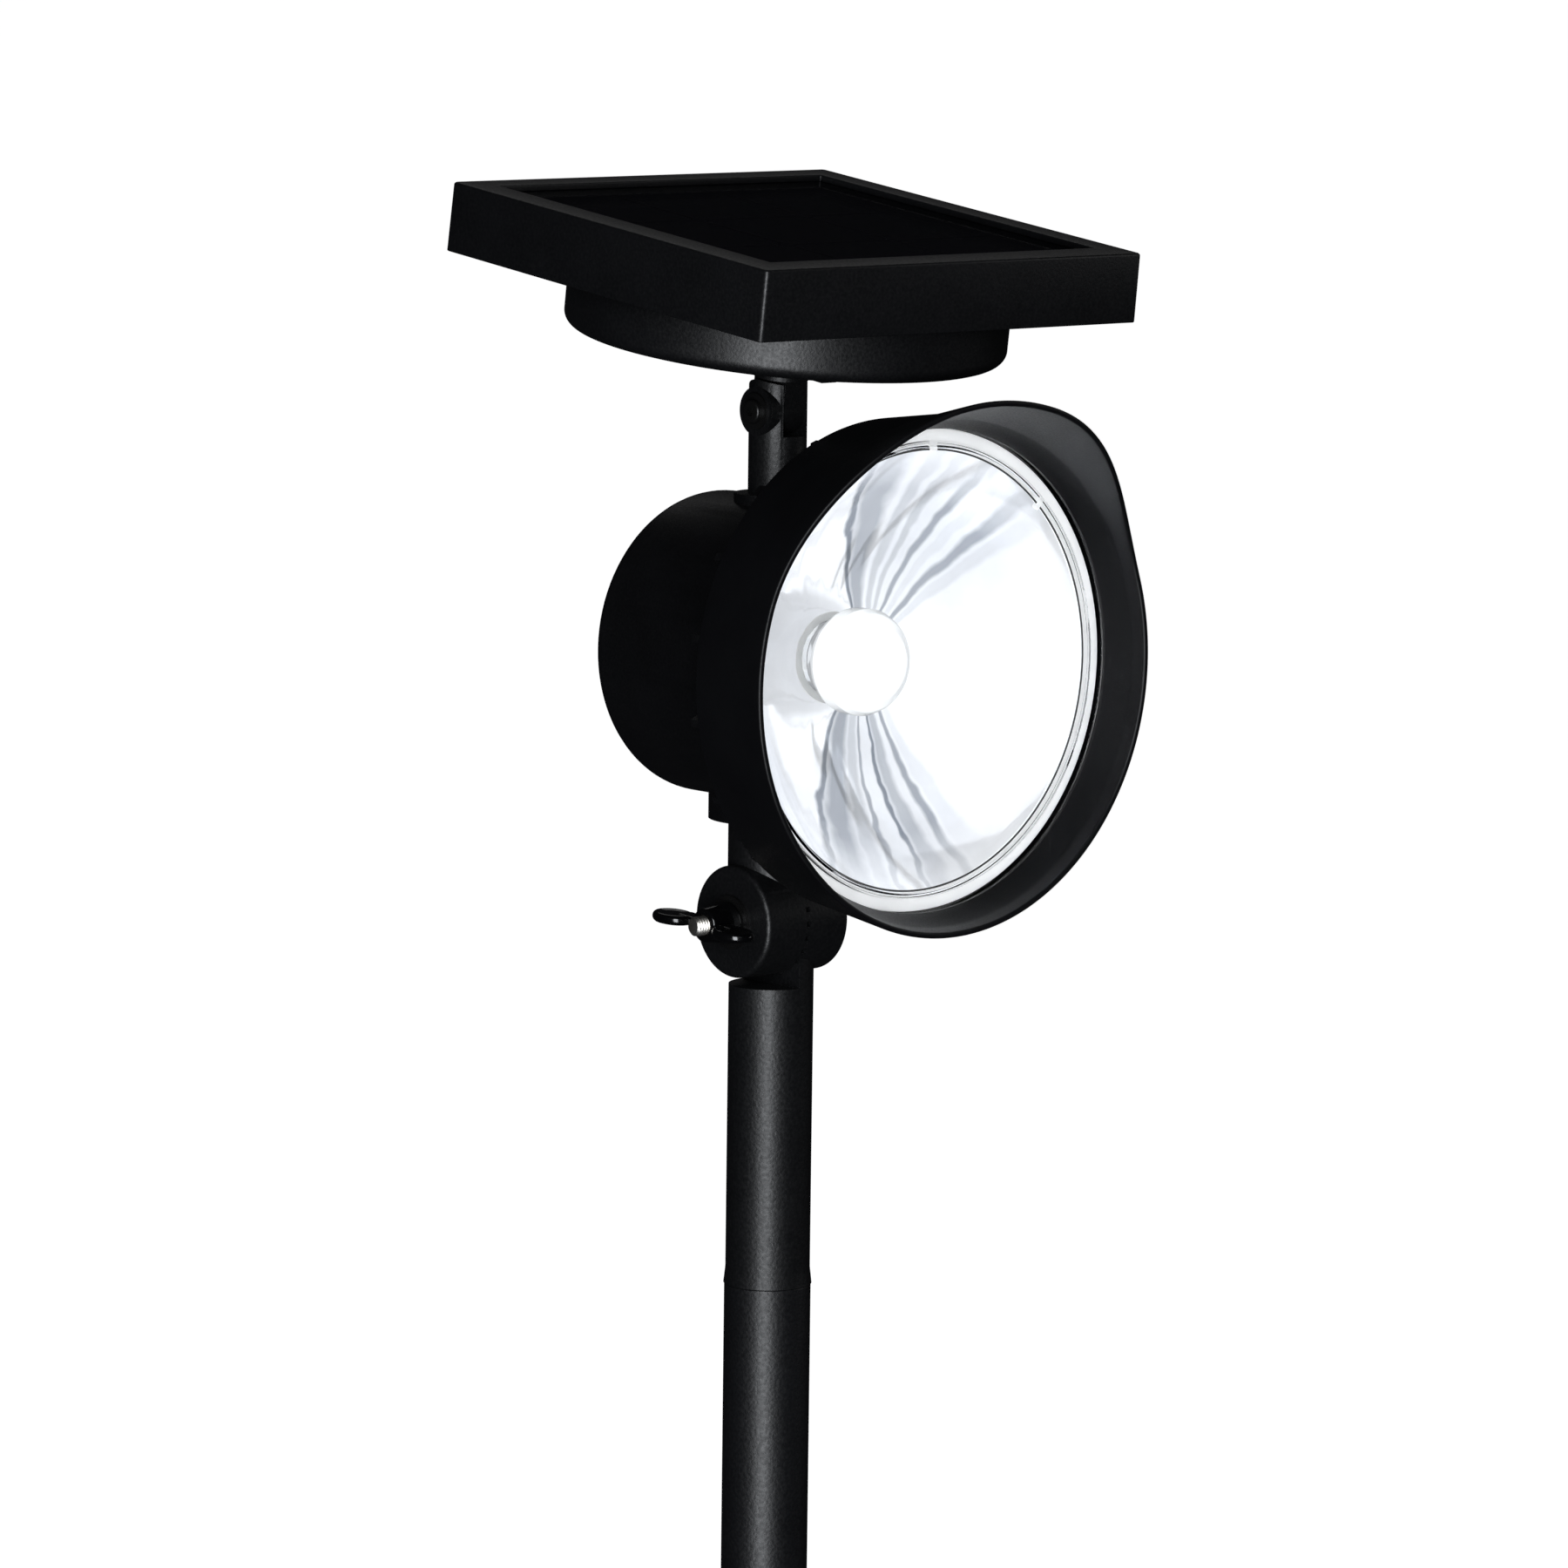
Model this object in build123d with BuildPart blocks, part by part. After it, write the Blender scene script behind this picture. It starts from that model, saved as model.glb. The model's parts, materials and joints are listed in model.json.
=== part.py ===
from build123d import *
from math import cos, pi, radians, sin, sqrt, tan
import os

# Solar garden spotlight on a pole that pushes into the ground, in millimetres.
# Z = 0 is the ground, the pole stands on the Z axis and the lamp looks along -Y.
# The wing nut of the tilt pivot is on the -X side.

# ---------------------------------------------------------------- pole and spike
POLE_R = 12.7
TUBE_R = 13.0
POLE_BORE_R = 11.5
SPIGOT_R = 11.43
SEAM_Z = 309.2
FLARE_R = 13.25
FLARE_HEIGHT = 5.0
COLLAR_R = 17.0
COLLAR_TOP = 7.0
COLLAR_BOTTOM = -2.0
COLLAR_CHAMFER = 0.8
STAKE_SPIGOT = 38.0
SPIKE_DEPTH = 186.0
SPIKE_SHOULDER = 52.0
SPIKE_TIP_HALF = 1.6
FIN_HALF = 13.0
FIN_THICKNESS = 3.4
POST_SPIGOT = 32.0
SEAM_GAP = 0.1
POST_BORE_R = 9.4

# ---------------------------------------------------------------- tilt pivot
PIVOT_Z = 420.0
BARREL_R = 16.8
BARREL_HALF = 15.9
BARREL_EDGE = 1.5
FACE_GAP = 0.1
NOTCH_COUNT = 24
NOTCH_WIDTH = 1.5
NOTCH_DEPTH = 0.7
NOTCH_INNER_R = 9.0
NOTCH_OVERRUN = 1.0
POST_FLAT_DROP = 20.0
POST_CORE_DROP = 30.0
BOLT_R = 3.0
BOLT_TIP_X = -30.9
BOLT_HEAD_X = 12.0
BOLT_HEAD_THICK = 3.9
BOLT_HEAD_R = 5.7
BOLT_FIT = 0.06
BOLT_CHAMFER = 0.6
WASHER_R = 8.0
WASHER_THICK = 1.2
NUT_THICK = 10.0
NUT_BASE_R = 6.3
NUT_TAPER = 9.0
WING_HALF_THICK = 1.5
WING_LENGTH = 7.0
WING_WIDTH = 5.8
WING_OUT = 13.5
WING_TURN = 4.0
WING_X = -27.0
WEB_X = -24.0
WEB_WIDTH = 6.0

# ---------------------------------------------------------------- lamp head
HEAD_Z = PIVOT_Z + 80.4
NECK_R = 13.3
NECK_TOP = PIVOT_Z + 30.0
NECK_CLEARANCE = 0.4
TENON_R = 9.5
TENON_FIT = 0.05
SEAT = 40.0
SEAT_EXTRA_R = 3.0
HEAD_EXTRA_R = 1.5
BOTTOM_BOSS_R = 19.3
BOTTOM_BOSS_EDGE = 2.6
TOP_BOSS_R = 12.8
TOP_BOSS_Z = PIVOT_Z + 127.0
DRUM_R = 45.2
DRUM_BACK = -31.0
DRUM_EDGE = 5.0
DRUM_FRONT = 17.0
WALL = 2.2
FUNNEL_FRONT = 48.0
FUNNEL_R = 68.4
RIM_R = 70.4
RIM_FRONT = 60.4
RIM_WALL = 2.4
RIB_COUNT = 18
RIB_BACK = 31.0
RIB_CREST = 43.0
RIB_THICK = 2.2
RIB_OVERLAP = 1.0

HOOD_BACK = 48.0
HOOD_BACK_R = 72.3
HOOD_FRONT = 80.4
HOOD_FRONT_R = 76.4
HOOD_WALL = 1.8
LIP_R = 70.5
LIP_BACK = 66.5
LIP_FRONT = 67.7
LIP_SEAT_R = 72.35
VISOR_LENGTH = 15.9
VISOR_FLARE = 15.6
VISOR_FULL = 15.0
VISOR_END = 72.0
VISOR_STEPS = 6

LENS_BACK = 63.9
LENS_FRONT = 66.4
LENS_R = 71.9
FLANGE_BACK = 62.4
FLANGE_R = 70.2
MOUTH_R = 65.0
THROAT_R = 13.0
THROAT_FRONT = 28.0
THROAT_BACK = 25.5
REFLECTOR_WALL = 1.4
BOWL_STEPS = 5
GASKET_INNER_R = 67.0

LED_MOUNT_BACK = 17.0
LED_MOUNT_FRONT = 20.0
LED_MOUNT_R = 42.8
BOARD_THICK = 1.6
BOARD_R = 15.0
EMITTER_HALF = 3.6
EMITTER_CORNER = 0.6
EMITTER_BASE = 1.0
EMITTER_DOME_R = 2.6
EMITTER_DOME = 1.6
EMITTER_ROUND = 1.4
BULB_RING_R = 12.9
GLOBE_STEM_R = 10.7
GLOBE_R = 15.3
GLOBE_SHOULDER = 35.5
GLOBE_NECK = 32.5
GLOBE_STRAIGHT = 41.0
GLOBE_TIP = 48.0
GLOBE_WALL = 2.0
POST_PITCH_R = 37.0
POST_R = 3.6
POST_COUNT = 3
SMALL_SCREW_R = 1.4
SMALL_HEAD_R = 3.0
SMALL_HEAD_THICK = 1.8

# ---------------------------------------------------------------- panel arm and hinge
HINGE_Z = PIVOT_Z + 151.5
ARM_R = 8.65
ARM_TENON_R = 6.0
SLOT_HALF = 4.4
SLOT_FLOOR = HINGE_Z - 7.4
CHEEK_R = 9.4
CHEEK_SLOPE = 13.3
PAD_R = 7.3
PAD_X = 8.65
HINGE_BOLT_R = 2.0
HINGE_FIT = 0.05
HINGE_WASHER_R = 5.4
HINGE_WASHER = 0.7
HINGE_HEAD_R = 3.6
HINGE_HEAD = 1.7
HINGE_HEAD_EDGE = 0.9
HINGE_SOCKET_R = 1.5
HINGE_NUT_R = 4.0
HINGE_NUT = 2.2
HINGE_NUT_X = 5.6

# ---------------------------------------------------------------- solar panel
PANEL_TILT = 7.3
TONGUE_HALF = 4.3
TONGUE_R = 7.0
STUB_COLLAR_R = 8.1
STUB_COLLAR_BASE = 9.8
STUB_COLLAR_TOP = 13.4
STUB_BOSS_R = 8.9
STUB_TENON_R = 6.5
STUB_NUT_R = 10.0
STUB_NUT = 4.0
CAN_BASE = 20.6
CAN_R = 65.5
CAN_EDGE = 4.0
FRAME_BASE = 37.0
FRAME_HEIGHT = 20.8
FRAME_X = 146.4
FRAME_Y = 142.5
FRAME_CORNER = 1.2
FRAME_DRAFT = 2.2
FRAME_WALL = 2.5
FRAME_TOP = 2.0
RIM_WIDTH = 9.5
PLATE_GAP = 0.5
PLATE_THICK = 2.2
GLASS_X = 128.8
GLASS_Y = 124.9
GLASS_THICK = 2.0
CELL_X = 123.0
CELL_Y = 119.0
CELL_THICK = 0.8
BACKING_THICK = 1.4
SEAL_WIDTH = 0.7
SEAL_HEIGHT = 3.6
PANEL_SCREW_X = 66.2
PANEL_SCREW_Y = 64.2
PANEL_HEAD_THICK = 1.2
PANEL_HEAD_SINK = 1.3
CORNER_BLOCK = 8.0
CORNER_BLOCK_SHIFT = 1.0
CORNER_BLOCK_HEIGHT = 11.3
SCREW_LENGTH = 11.0
TRAY_Z = 28.8
TRAY_X = 58.0
TRAY_Y = 50.0
TRAY_FLOOR = 1.6
TRAY_END = 10.0
TRAY_SLACK = 1.0
FOOT_R = 2.4
TRAY_FEET_X = 46.0
TRAY_FEET_Y = 42.0
AA_RADIUS = 7.1
AA_LENGTH = 50.5
AA_PITCH = 15.6
AA_NUB_R = 2.6
AA_NUB = 1.2
AA_CLEARANCE = 0.1
PCB_X = 44.0
PCB_Y = 20.0
PCB_AT = 43.0
PCB_Z = 27.0
PCB_FEET = 18.0
CHIP_AT = -8.0
CHIP_X = 8.0
CHIP_Y = 6.0
CAPACITOR_AT = 10.0
CAPACITOR_R = 3.0
COMPONENT_HEIGHT = 4.0
SWITCH_AT = (-20.0, -44.0)
SWITCH_X = 22.0
SWITCH_Y = 9.0
SWITCH_HEIGHT = 7.0
SWITCH_SLOT_X = 13.0
SWITCH_SLOT_Y = 5.0
SLIDER_X = 5.6
SLIDER_Y = 4.6
SLIDER_PROUD = 2.2
SLIDER_START = -3.0
SLIDER_FIT = 0.2

LAMP_AXIS = Axis((0, 0, HEAD_Z), (0, 1, 0))
BARREL_FACE = -BARREL_HALF
# Longer than any local feature, for cuts that run right through
FAR = 40.0


def lamp_plane(angle=0.0):
    """Half-plane through the lamp axis: x runs forward from the pole, y is the radius."""
    turn = radians(angle)
    return Plane((0, 0, HEAD_Z), x_dir=(0, -1, 0), z_dir=(-cos(turn), 0, sin(turn)))


def lamp_front_plane(forward):
    """Plane square to the lamp axis: x is +X, y is up, extrusions go forward."""
    return Plane((0, -forward, HEAD_Z), x_dir=(1, 0, 0), z_dir=(0, -1, 0))


def side_plane(x):
    """Plane square to the X axis: sketch x is +Y, sketch y is Z, extrusions go along +X."""
    return Plane.YZ.offset(x)


def panel_plane(height):
    """Plane parallel to the tilted panel, at a height above the hinge along its normal."""
    tilt = radians(PANEL_TILT)
    normal = Vector(0, -sin(tilt), cos(tilt))
    return Plane(Vector(0, 0, HINGE_Z) + normal * height, x_dir=(1, 0, 0), z_dir=normal)


def wing_plane():
    """Plane of the nut's wings through the pivot: sketch x is +X, sketch y nearly +Y."""
    turn = radians(WING_TURN)
    return Plane((0, 0, PIVOT_Z), x_dir=(1, 0, 0), z_dir=(0, -sin(turn), cos(turn)))


def cheek_plane(x):
    """Plane square to the X axis at the hinge, its sketch y leaning towards -Y by the slope."""
    turn = radians(CHEEK_SLOPE)
    return Plane((x, 0, HINGE_Z), x_dir=(0, cos(turn), sin(turn)), z_dir=(1, 0, 0))


PANEL_AXIS = Axis((0, 0, HINGE_Z), panel_plane(0).z_dir)


def reflector_radius(forward):
    """Parabolic bowl through the throat and the mouth."""
    span = (MOUTH_R**2 - THROAT_R**2) / (FLANGE_BACK - THROAT_FRONT)
    return sqrt(THROAT_R**2 + span * (forward - THROAT_FRONT))


def visor_point(step):
    """A point of the visor's falling side edge: (forward, height above the lamp axis)."""
    share = step / VISOR_STEPS
    reach = VISOR_LENGTH * (1 + cos(pi * share)) / 2
    angle = radians(VISOR_FULL + share * (VISOR_END - VISOR_FULL))
    radius = HOOD_FRONT_R + reach * tan(radians(VISOR_FLARE))
    return (HOOD_FRONT + reach, radius * cos(angle))


# ================================================================ ground spike and pole
with BuildPart() as ground_stake:
    with BuildSketch(Plane.XY.offset(COLLAR_BOTTOM)):
        Circle(COLLAR_R)
    extrude(amount=COLLAR_TOP - COLLAR_BOTTOM)
    chamfer(edges().filter_by(GeomType.CIRCLE), length=COLLAR_CHAMFER)
    with BuildSketch(Plane.XY.offset(COLLAR_TOP)):
        Circle(SPIGOT_R)
    extrude(amount=STAKE_SPIGOT)
    # Four tapering fins, two crossed blades
    for blade in (Plane.XZ, Plane.YZ):
        with BuildSketch(blade):
            with BuildLine():
                Polyline(
                    (FIN_HALF, COLLAR_BOTTOM),
                    (FIN_HALF, -SPIKE_SHOULDER),
                    (SPIKE_TIP_HALF, -SPIKE_DEPTH),
                    (-SPIKE_TIP_HALF, -SPIKE_DEPTH),
                    (-FIN_HALF, -SPIKE_SHOULDER),
                    (-FIN_HALF, COLLAR_BOTTOM),
                    close=True,
                )
            make_face()
        extrude(amount=FIN_THICKNESS / 2, both=True)

with BuildPart() as lower_tube:
    with BuildSketch(Plane.XY.offset(COLLAR_TOP)):
        Circle(TUBE_R)
        Circle(POLE_BORE_R, mode=Mode.SUBTRACT)
    extrude(amount=SEAM_Z - COLLAR_TOP)

# ================================================================ post and tilt pivot
with BuildPart() as upper_post:
    with BuildSketch(Plane.XY.offset(SEAM_Z + SEAM_GAP)):
        Circle(POLE_R)
    extrude(amount=PIVOT_Z - SEAM_Z - SEAM_GAP)
    # Foot that flares out over the joint with the lower tube
    with BuildSketch(Plane.XZ):
        with BuildLine():
            Polyline(
                (0, SEAM_Z + SEAM_GAP),
                (FLARE_R, SEAM_Z + SEAM_GAP),
                (POLE_R, SEAM_Z + FLARE_HEIGHT),
                (0, SEAM_Z + FLARE_HEIGHT),
                close=True,
            )
        make_face()
    revolve(axis=Axis.Z)
    # The head's half of the barrel turns over this flat
    with BuildSketch(Plane.XY.offset(PIVOT_Z - POST_FLAT_DROP)):
        with Locations((FACE_GAP / 2 - FAR / 2, 0)):
            Rectangle(FAR, FAR)
    extrude(amount=FAR, mode=Mode.SUBTRACT)
    with BuildSketch(side_plane(FACE_GAP / 2)):
        with Locations((0, PIVOT_Z)):
            Circle(BARREL_R)
    extrude(amount=BARREL_HALF - FACE_GAP / 2)
    fillet(edges().filter_by(GeomType.CIRCLE).group_by(Axis.X)[-1], radius=BARREL_EDGE)
    # Grip notches in the clamped face
    with BuildSketch(side_plane(FACE_GAP / 2)):
        with Locations((0, PIVOT_Z)):
            with PolarLocations((NOTCH_INNER_R + BARREL_R) / 2, NOTCH_COUNT):
                Rectangle(BARREL_R - NOTCH_INNER_R + NOTCH_OVERRUN, NOTCH_WIDTH)
    extrude(amount=NOTCH_DEPTH, mode=Mode.SUBTRACT)
    # Bolt hole and the pocket that keeps the bolt's head from turning
    with BuildSketch(side_plane(0)):
        with Locations((0, PIVOT_Z)):
            Circle(BOLT_R + BOLT_FIT)
    extrude(amount=FAR, mode=Mode.SUBTRACT)
    with BuildSketch(side_plane(BOLT_HEAD_X)):
        with Locations((0, PIVOT_Z)):
            RegularPolygon(BOLT_HEAD_R + BOLT_FIT, 6)
    extrude(amount=FAR, mode=Mode.SUBTRACT)
    # Spigot that plugs into the lower tube, and the hollow core
    with BuildSketch(Plane.XY.offset(SEAM_Z - POST_SPIGOT)):
        Circle(SPIGOT_R)
    extrude(amount=POST_SPIGOT + SEAM_GAP)
    with BuildSketch(Plane.XY.offset(SEAM_Z - POST_SPIGOT)):
        Circle(POST_BORE_R)
    extrude(amount=PIVOT_Z - POST_CORE_DROP - SEAM_Z + POST_SPIGOT, mode=Mode.SUBTRACT)

with BuildPart() as pivot_bolt:
    with BuildSketch(side_plane(BOLT_TIP_X)):
        with Locations((0, PIVOT_Z)):
            Circle(BOLT_R)
    extrude(amount=BOLT_HEAD_X - BOLT_TIP_X)
    chamfer(edges().group_by(Axis.X)[0], length=BOLT_CHAMFER)
    with BuildSketch(side_plane(BOLT_HEAD_X)):
        with Locations((0, PIVOT_Z)):
            RegularPolygon(BOLT_HEAD_R, 6)
    extrude(amount=BOLT_HEAD_THICK)

with BuildPart() as pivot_washer:
    with BuildSketch(side_plane(BARREL_FACE - WASHER_THICK)):
        with Locations((0, PIVOT_Z)):
            Circle(WASHER_R)
            Circle(BOLT_R + BOLT_FIT, mode=Mode.SUBTRACT)
    extrude(amount=WASHER_THICK)

with BuildPart() as wing_nut:
    with BuildSketch(side_plane(BARREL_FACE - WASHER_THICK)):
        with Locations((0, PIVOT_Z)):
            Circle(NUT_BASE_R)
    extrude(amount=-NUT_THICK, taper=NUT_TAPER)
    # Two round wings on a web through the hub
    with BuildSketch(wing_plane()):
        with Locations((WING_X, WING_OUT), (WING_X, -WING_OUT)):
            Ellipse(WING_WIDTH, WING_LENGTH)
        with Locations((WEB_X, 0)):
            Rectangle(WEB_WIDTH, 2 * WING_OUT)
    extrude(amount=WING_HALF_THICK, both=True)
    with BuildSketch(side_plane(-FAR)):
        with Locations((0, PIVOT_Z)):
            Circle(BOLT_R + BOLT_FIT)
    extrude(amount=FAR, mode=Mode.SUBTRACT)

# ================================================================ neck of the lamp head
with BuildPart() as neck_bracket:
    with BuildSketch(Plane.XY.offset(PIVOT_Z)):
        Circle(NECK_R)
    extrude(amount=NECK_TOP - PIVOT_Z)
    # Room for the post's half of the barrel
    with BuildSketch(side_plane(-FACE_GAP / 2)):
        with Locations((0, PIVOT_Z)):
            Circle(BARREL_R + NECK_CLEARANCE)
    extrude(amount=FAR, mode=Mode.SUBTRACT)
    with BuildSketch(side_plane(BARREL_FACE)):
        with Locations((0, PIVOT_Z)):
            Circle(BARREL_R)
    extrude(amount=BARREL_HALF - FACE_GAP / 2)
    fillet(edges().filter_by(GeomType.CIRCLE).group_by(Axis.X)[0], radius=BARREL_EDGE)
    with BuildSketch(side_plane(-FACE_GAP / 2)):
        with Locations((0, PIVOT_Z)):
            with PolarLocations((NOTCH_INNER_R + BARREL_R) / 2, NOTCH_COUNT):
                Rectangle(BARREL_R - NOTCH_INNER_R + NOTCH_OVERRUN, NOTCH_WIDTH)
    extrude(amount=-NOTCH_DEPTH, mode=Mode.SUBTRACT)
    with BuildSketch(side_plane(-FAR)):
        with Locations((0, PIVOT_Z)):
            Circle(BOLT_R + BOLT_FIT)
    extrude(amount=FAR, mode=Mode.SUBTRACT)
    # Tenon into the housing's boss, with a pilot hole for its screw
    with BuildSketch(Plane.XY.offset(NECK_TOP)):
        Circle(TENON_R)
    extrude(amount=HEAD_Z - SEAT - NECK_TOP)
    with BuildSketch(Plane.XY.offset(HEAD_Z - SEAT)):
        Circle(SMALL_SCREW_R)
    extrude(amount=-SCREW_LENGTH, mode=Mode.SUBTRACT)

with BuildPart() as neck_screw:
    with BuildSketch(Plane.XY.offset(HEAD_Z - SEAT)):
        Circle(TENON_R + HEAD_EXTRA_R)
    extrude(amount=SMALL_HEAD_THICK)
    with BuildSketch(Plane.XY.offset(HEAD_Z - SEAT)):
        Circle(SMALL_SCREW_R)
    extrude(amount=-SCREW_LENGTH)

# ================================================================ lamp housing
with BuildPart() as rear_housing:
    with BuildSketch(lamp_plane()):
        with BuildLine():
            Polyline(
                (DRUM_BACK, 0),
                (DRUM_BACK, DRUM_R),
                (DRUM_FRONT, DRUM_R),
                (FUNNEL_FRONT, FUNNEL_R),
                (FUNNEL_FRONT, RIM_R),
                (RIM_FRONT, RIM_R),
                (RIM_FRONT, 0),
                close=True,
            )
        make_face()
    revolve(axis=LAMP_AXIS)
    fillet(edges().filter_by(GeomType.CIRCLE).group_by(Axis.Y)[-1], radius=DRUM_EDGE)
    # Short webs behind the rim
    for rib in range(RIB_COUNT):
        with BuildSketch(lamp_plane(rib * 360 / RIB_COUNT)):
            with BuildLine():
                Polyline(
                    (RIB_BACK, DRUM_R),
                    (RIB_CREST, RIM_R),
                    (FUNNEL_FRONT + RIB_OVERLAP, RIM_R),
                    (FUNNEL_FRONT + RIB_OVERLAP, DRUM_R),
                    close=True,
                )
            make_face()
        extrude(amount=RIB_THICK / 2, both=True)
    # Boss over the neck and boss under the arm
    with BuildSketch(Plane.XY.offset(NECK_TOP)):
        Circle(BOTTOM_BOSS_R)
    extrude(amount=HEAD_Z - NECK_TOP)
    fillet(edges().filter_by(GeomType.CIRCLE).group_by(Axis.Z)[0], radius=BOTTOM_BOSS_EDGE)
    with BuildSketch(Plane.XY.offset(HEAD_Z)):
        Circle(TOP_BOSS_R)
    extrude(amount=TOP_BOSS_Z - HEAD_Z)
    # Hollow inside
    with BuildSketch(lamp_plane()):
        with BuildLine():
            Polyline(
                (DRUM_BACK + WALL, 0),
                (DRUM_BACK + WALL, DRUM_R - WALL),
                (DRUM_FRONT, DRUM_R - WALL),
                (FUNNEL_FRONT, RIM_R - RIM_WALL - WALL),
                (FUNNEL_FRONT + WALL, RIM_R - RIM_WALL),
                (RIM_FRONT, RIM_R - RIM_WALL),
                (RIM_FRONT, 0),
                close=True,
            )
        make_face()
    revolve(axis=LAMP_AXIS, mode=Mode.SUBTRACT)
    # Pillars for the lamp carrier
    with BuildSketch(lamp_front_plane(DRUM_BACK + WALL / 2)):
        with PolarLocations(POST_PITCH_R, POST_COUNT):
            Circle(POST_R)
            Circle(SMALL_SCREW_R, mode=Mode.SUBTRACT)
    extrude(amount=LED_MOUNT_BACK - DRUM_BACK - WALL / 2)
    # Flat seats inside for the heads of the neck's and the arm's screws
    with BuildSketch(Plane.XY.offset(HEAD_Z - SEAT)):
        Circle(TENON_R + SEAT_EXTRA_R)
    extrude(amount=SEAT - DRUM_R + WALL / 2)
    with BuildSketch(Plane.XY.offset(HEAD_Z + SEAT)):
        Circle(ARM_TENON_R + SEAT_EXTRA_R)
    extrude(amount=DRUM_R - WALL / 2 - SEAT)
    # Holes for the tenons of the neck and of the arm
    with BuildSketch(Plane.XY.offset(NECK_TOP)):
        Circle(TENON_R + TENON_FIT)
    extrude(amount=FAR / 2, mode=Mode.SUBTRACT)
    with BuildSketch(Plane.XY.offset(TOP_BOSS_Z)):
        Circle(ARM_TENON_R + TENON_FIT)
    extrude(amount=-FAR / 2, mode=Mode.SUBTRACT)

# ================================================================ lamp, reflector and lens
with BuildPart() as led_mount:
    with BuildSketch(lamp_front_plane(LED_MOUNT_BACK)):
        Circle(LED_MOUNT_R)
        with PolarLocations(POST_PITCH_R, POST_COUNT):
            Circle(SMALL_SCREW_R, mode=Mode.SUBTRACT)
    extrude(amount=LED_MOUNT_FRONT - LED_MOUNT_BACK)

with BuildPart() as mount_screws:
    with BuildSketch(lamp_front_plane(LED_MOUNT_FRONT)):
        with PolarLocations(POST_PITCH_R, POST_COUNT):
            Circle(SMALL_HEAD_R)
    extrude(amount=SMALL_HEAD_THICK)
    with BuildSketch(lamp_front_plane(LED_MOUNT_FRONT)):
        with PolarLocations(POST_PITCH_R, POST_COUNT):
            Circle(SMALL_SCREW_R)
    extrude(amount=-SCREW_LENGTH)

with BuildPart() as led_board:
    with BuildSketch(lamp_front_plane(LED_MOUNT_FRONT)):
        Circle(BOARD_R)
    extrude(amount=BOARD_THICK)

with BuildPart() as led_emitter:
    with BuildSketch(lamp_front_plane(LED_MOUNT_FRONT + BOARD_THICK)):
        RectangleRounded(2 * EMITTER_HALF, 2 * EMITTER_HALF, EMITTER_CORNER)
    extrude(amount=EMITTER_BASE)
    with BuildSketch(lamp_front_plane(LED_MOUNT_FRONT + BOARD_THICK + EMITTER_BASE)):
        Circle(EMITTER_DOME_R)
    extrude(amount=EMITTER_DOME)
    fillet(edges().group_by(Axis.Y)[0], radius=EMITTER_ROUND)

with BuildPart() as bulb_ring:
    with BuildSketch(lamp_front_plane(LED_MOUNT_FRONT + BOARD_THICK)):
        Circle(BULB_RING_R)
        Circle(GLOBE_STEM_R + TENON_FIT, mode=Mode.SUBTRACT)
    extrude(amount=THROAT_FRONT - LED_MOUNT_FRONT - BOARD_THICK)

with BuildPart() as bulb_globe:
    with BuildSketch(lamp_plane()):
        with BuildLine():
            Polyline(
                (LED_MOUNT_FRONT + BOARD_THICK, GLOBE_STEM_R - GLOBE_WALL),
                (LED_MOUNT_FRONT + BOARD_THICK, GLOBE_STEM_R),
                (GLOBE_NECK, GLOBE_STEM_R),
                (GLOBE_SHOULDER, GLOBE_R),
                (GLOBE_STRAIGHT, GLOBE_R),
            )
            EllipticalCenterArc(
                (GLOBE_STRAIGHT, 0), GLOBE_TIP - GLOBE_STRAIGHT, GLOBE_R, start_angle=0, arc_size=90
            )
            Polyline(
                (GLOBE_TIP, 0),
                (GLOBE_TIP - GLOBE_WALL, 0),
            )
            EllipticalCenterArc(
                (GLOBE_STRAIGHT, 0),
                GLOBE_TIP - GLOBE_STRAIGHT - GLOBE_WALL,
                GLOBE_STEM_R - GLOBE_WALL,
                start_angle=0,
                arc_size=90,
            )
            Line(
                (GLOBE_STRAIGHT, GLOBE_STEM_R - GLOBE_WALL),
                (LED_MOUNT_FRONT + BOARD_THICK, GLOBE_STEM_R - GLOBE_WALL),
            )
        make_face()
    revolve(axis=LAMP_AXIS)

with BuildPart() as reflector:
    bowl_step = (FLANGE_BACK - THROAT_FRONT) / BOWL_STEPS
    bowl = [THROAT_FRONT + step * bowl_step for step in range(BOWL_STEPS + 1)]
    with BuildSketch(lamp_plane()):
        with BuildLine():
            Spline(*[(forward, reflector_radius(forward)) for forward in bowl])
            Polyline(
                (FLANGE_BACK, MOUTH_R),
                (LENS_BACK, MOUTH_R),
                (LENS_BACK, FLANGE_R),
                (FLANGE_BACK, FLANGE_R),
                (FLANGE_BACK, MOUTH_R + REFLECTOR_WALL),
            )
            Spline(*[(forward, reflector_radius(forward) + REFLECTOR_WALL) for forward in bowl])
            Polyline(
                (THROAT_FRONT, THROAT_R + REFLECTOR_WALL),
                (THROAT_BACK, THROAT_R + REFLECTOR_WALL),
                (THROAT_BACK, THROAT_R),
                (THROAT_FRONT, THROAT_R),
            )
        make_face()
    revolve(axis=LAMP_AXIS)

with BuildPart() as lens_gasket:
    with BuildSketch(lamp_front_plane(RIM_FRONT)):
        Circle(FLANGE_R)
        Circle(GASKET_INNER_R, mode=Mode.SUBTRACT)
    extrude(amount=FLANGE_BACK - RIM_FRONT)

with BuildPart() as lens:
    with BuildSketch(lamp_front_plane(LENS_BACK)):
        Circle(LENS_R)
    extrude(amount=LENS_FRONT - LENS_BACK)

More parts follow.
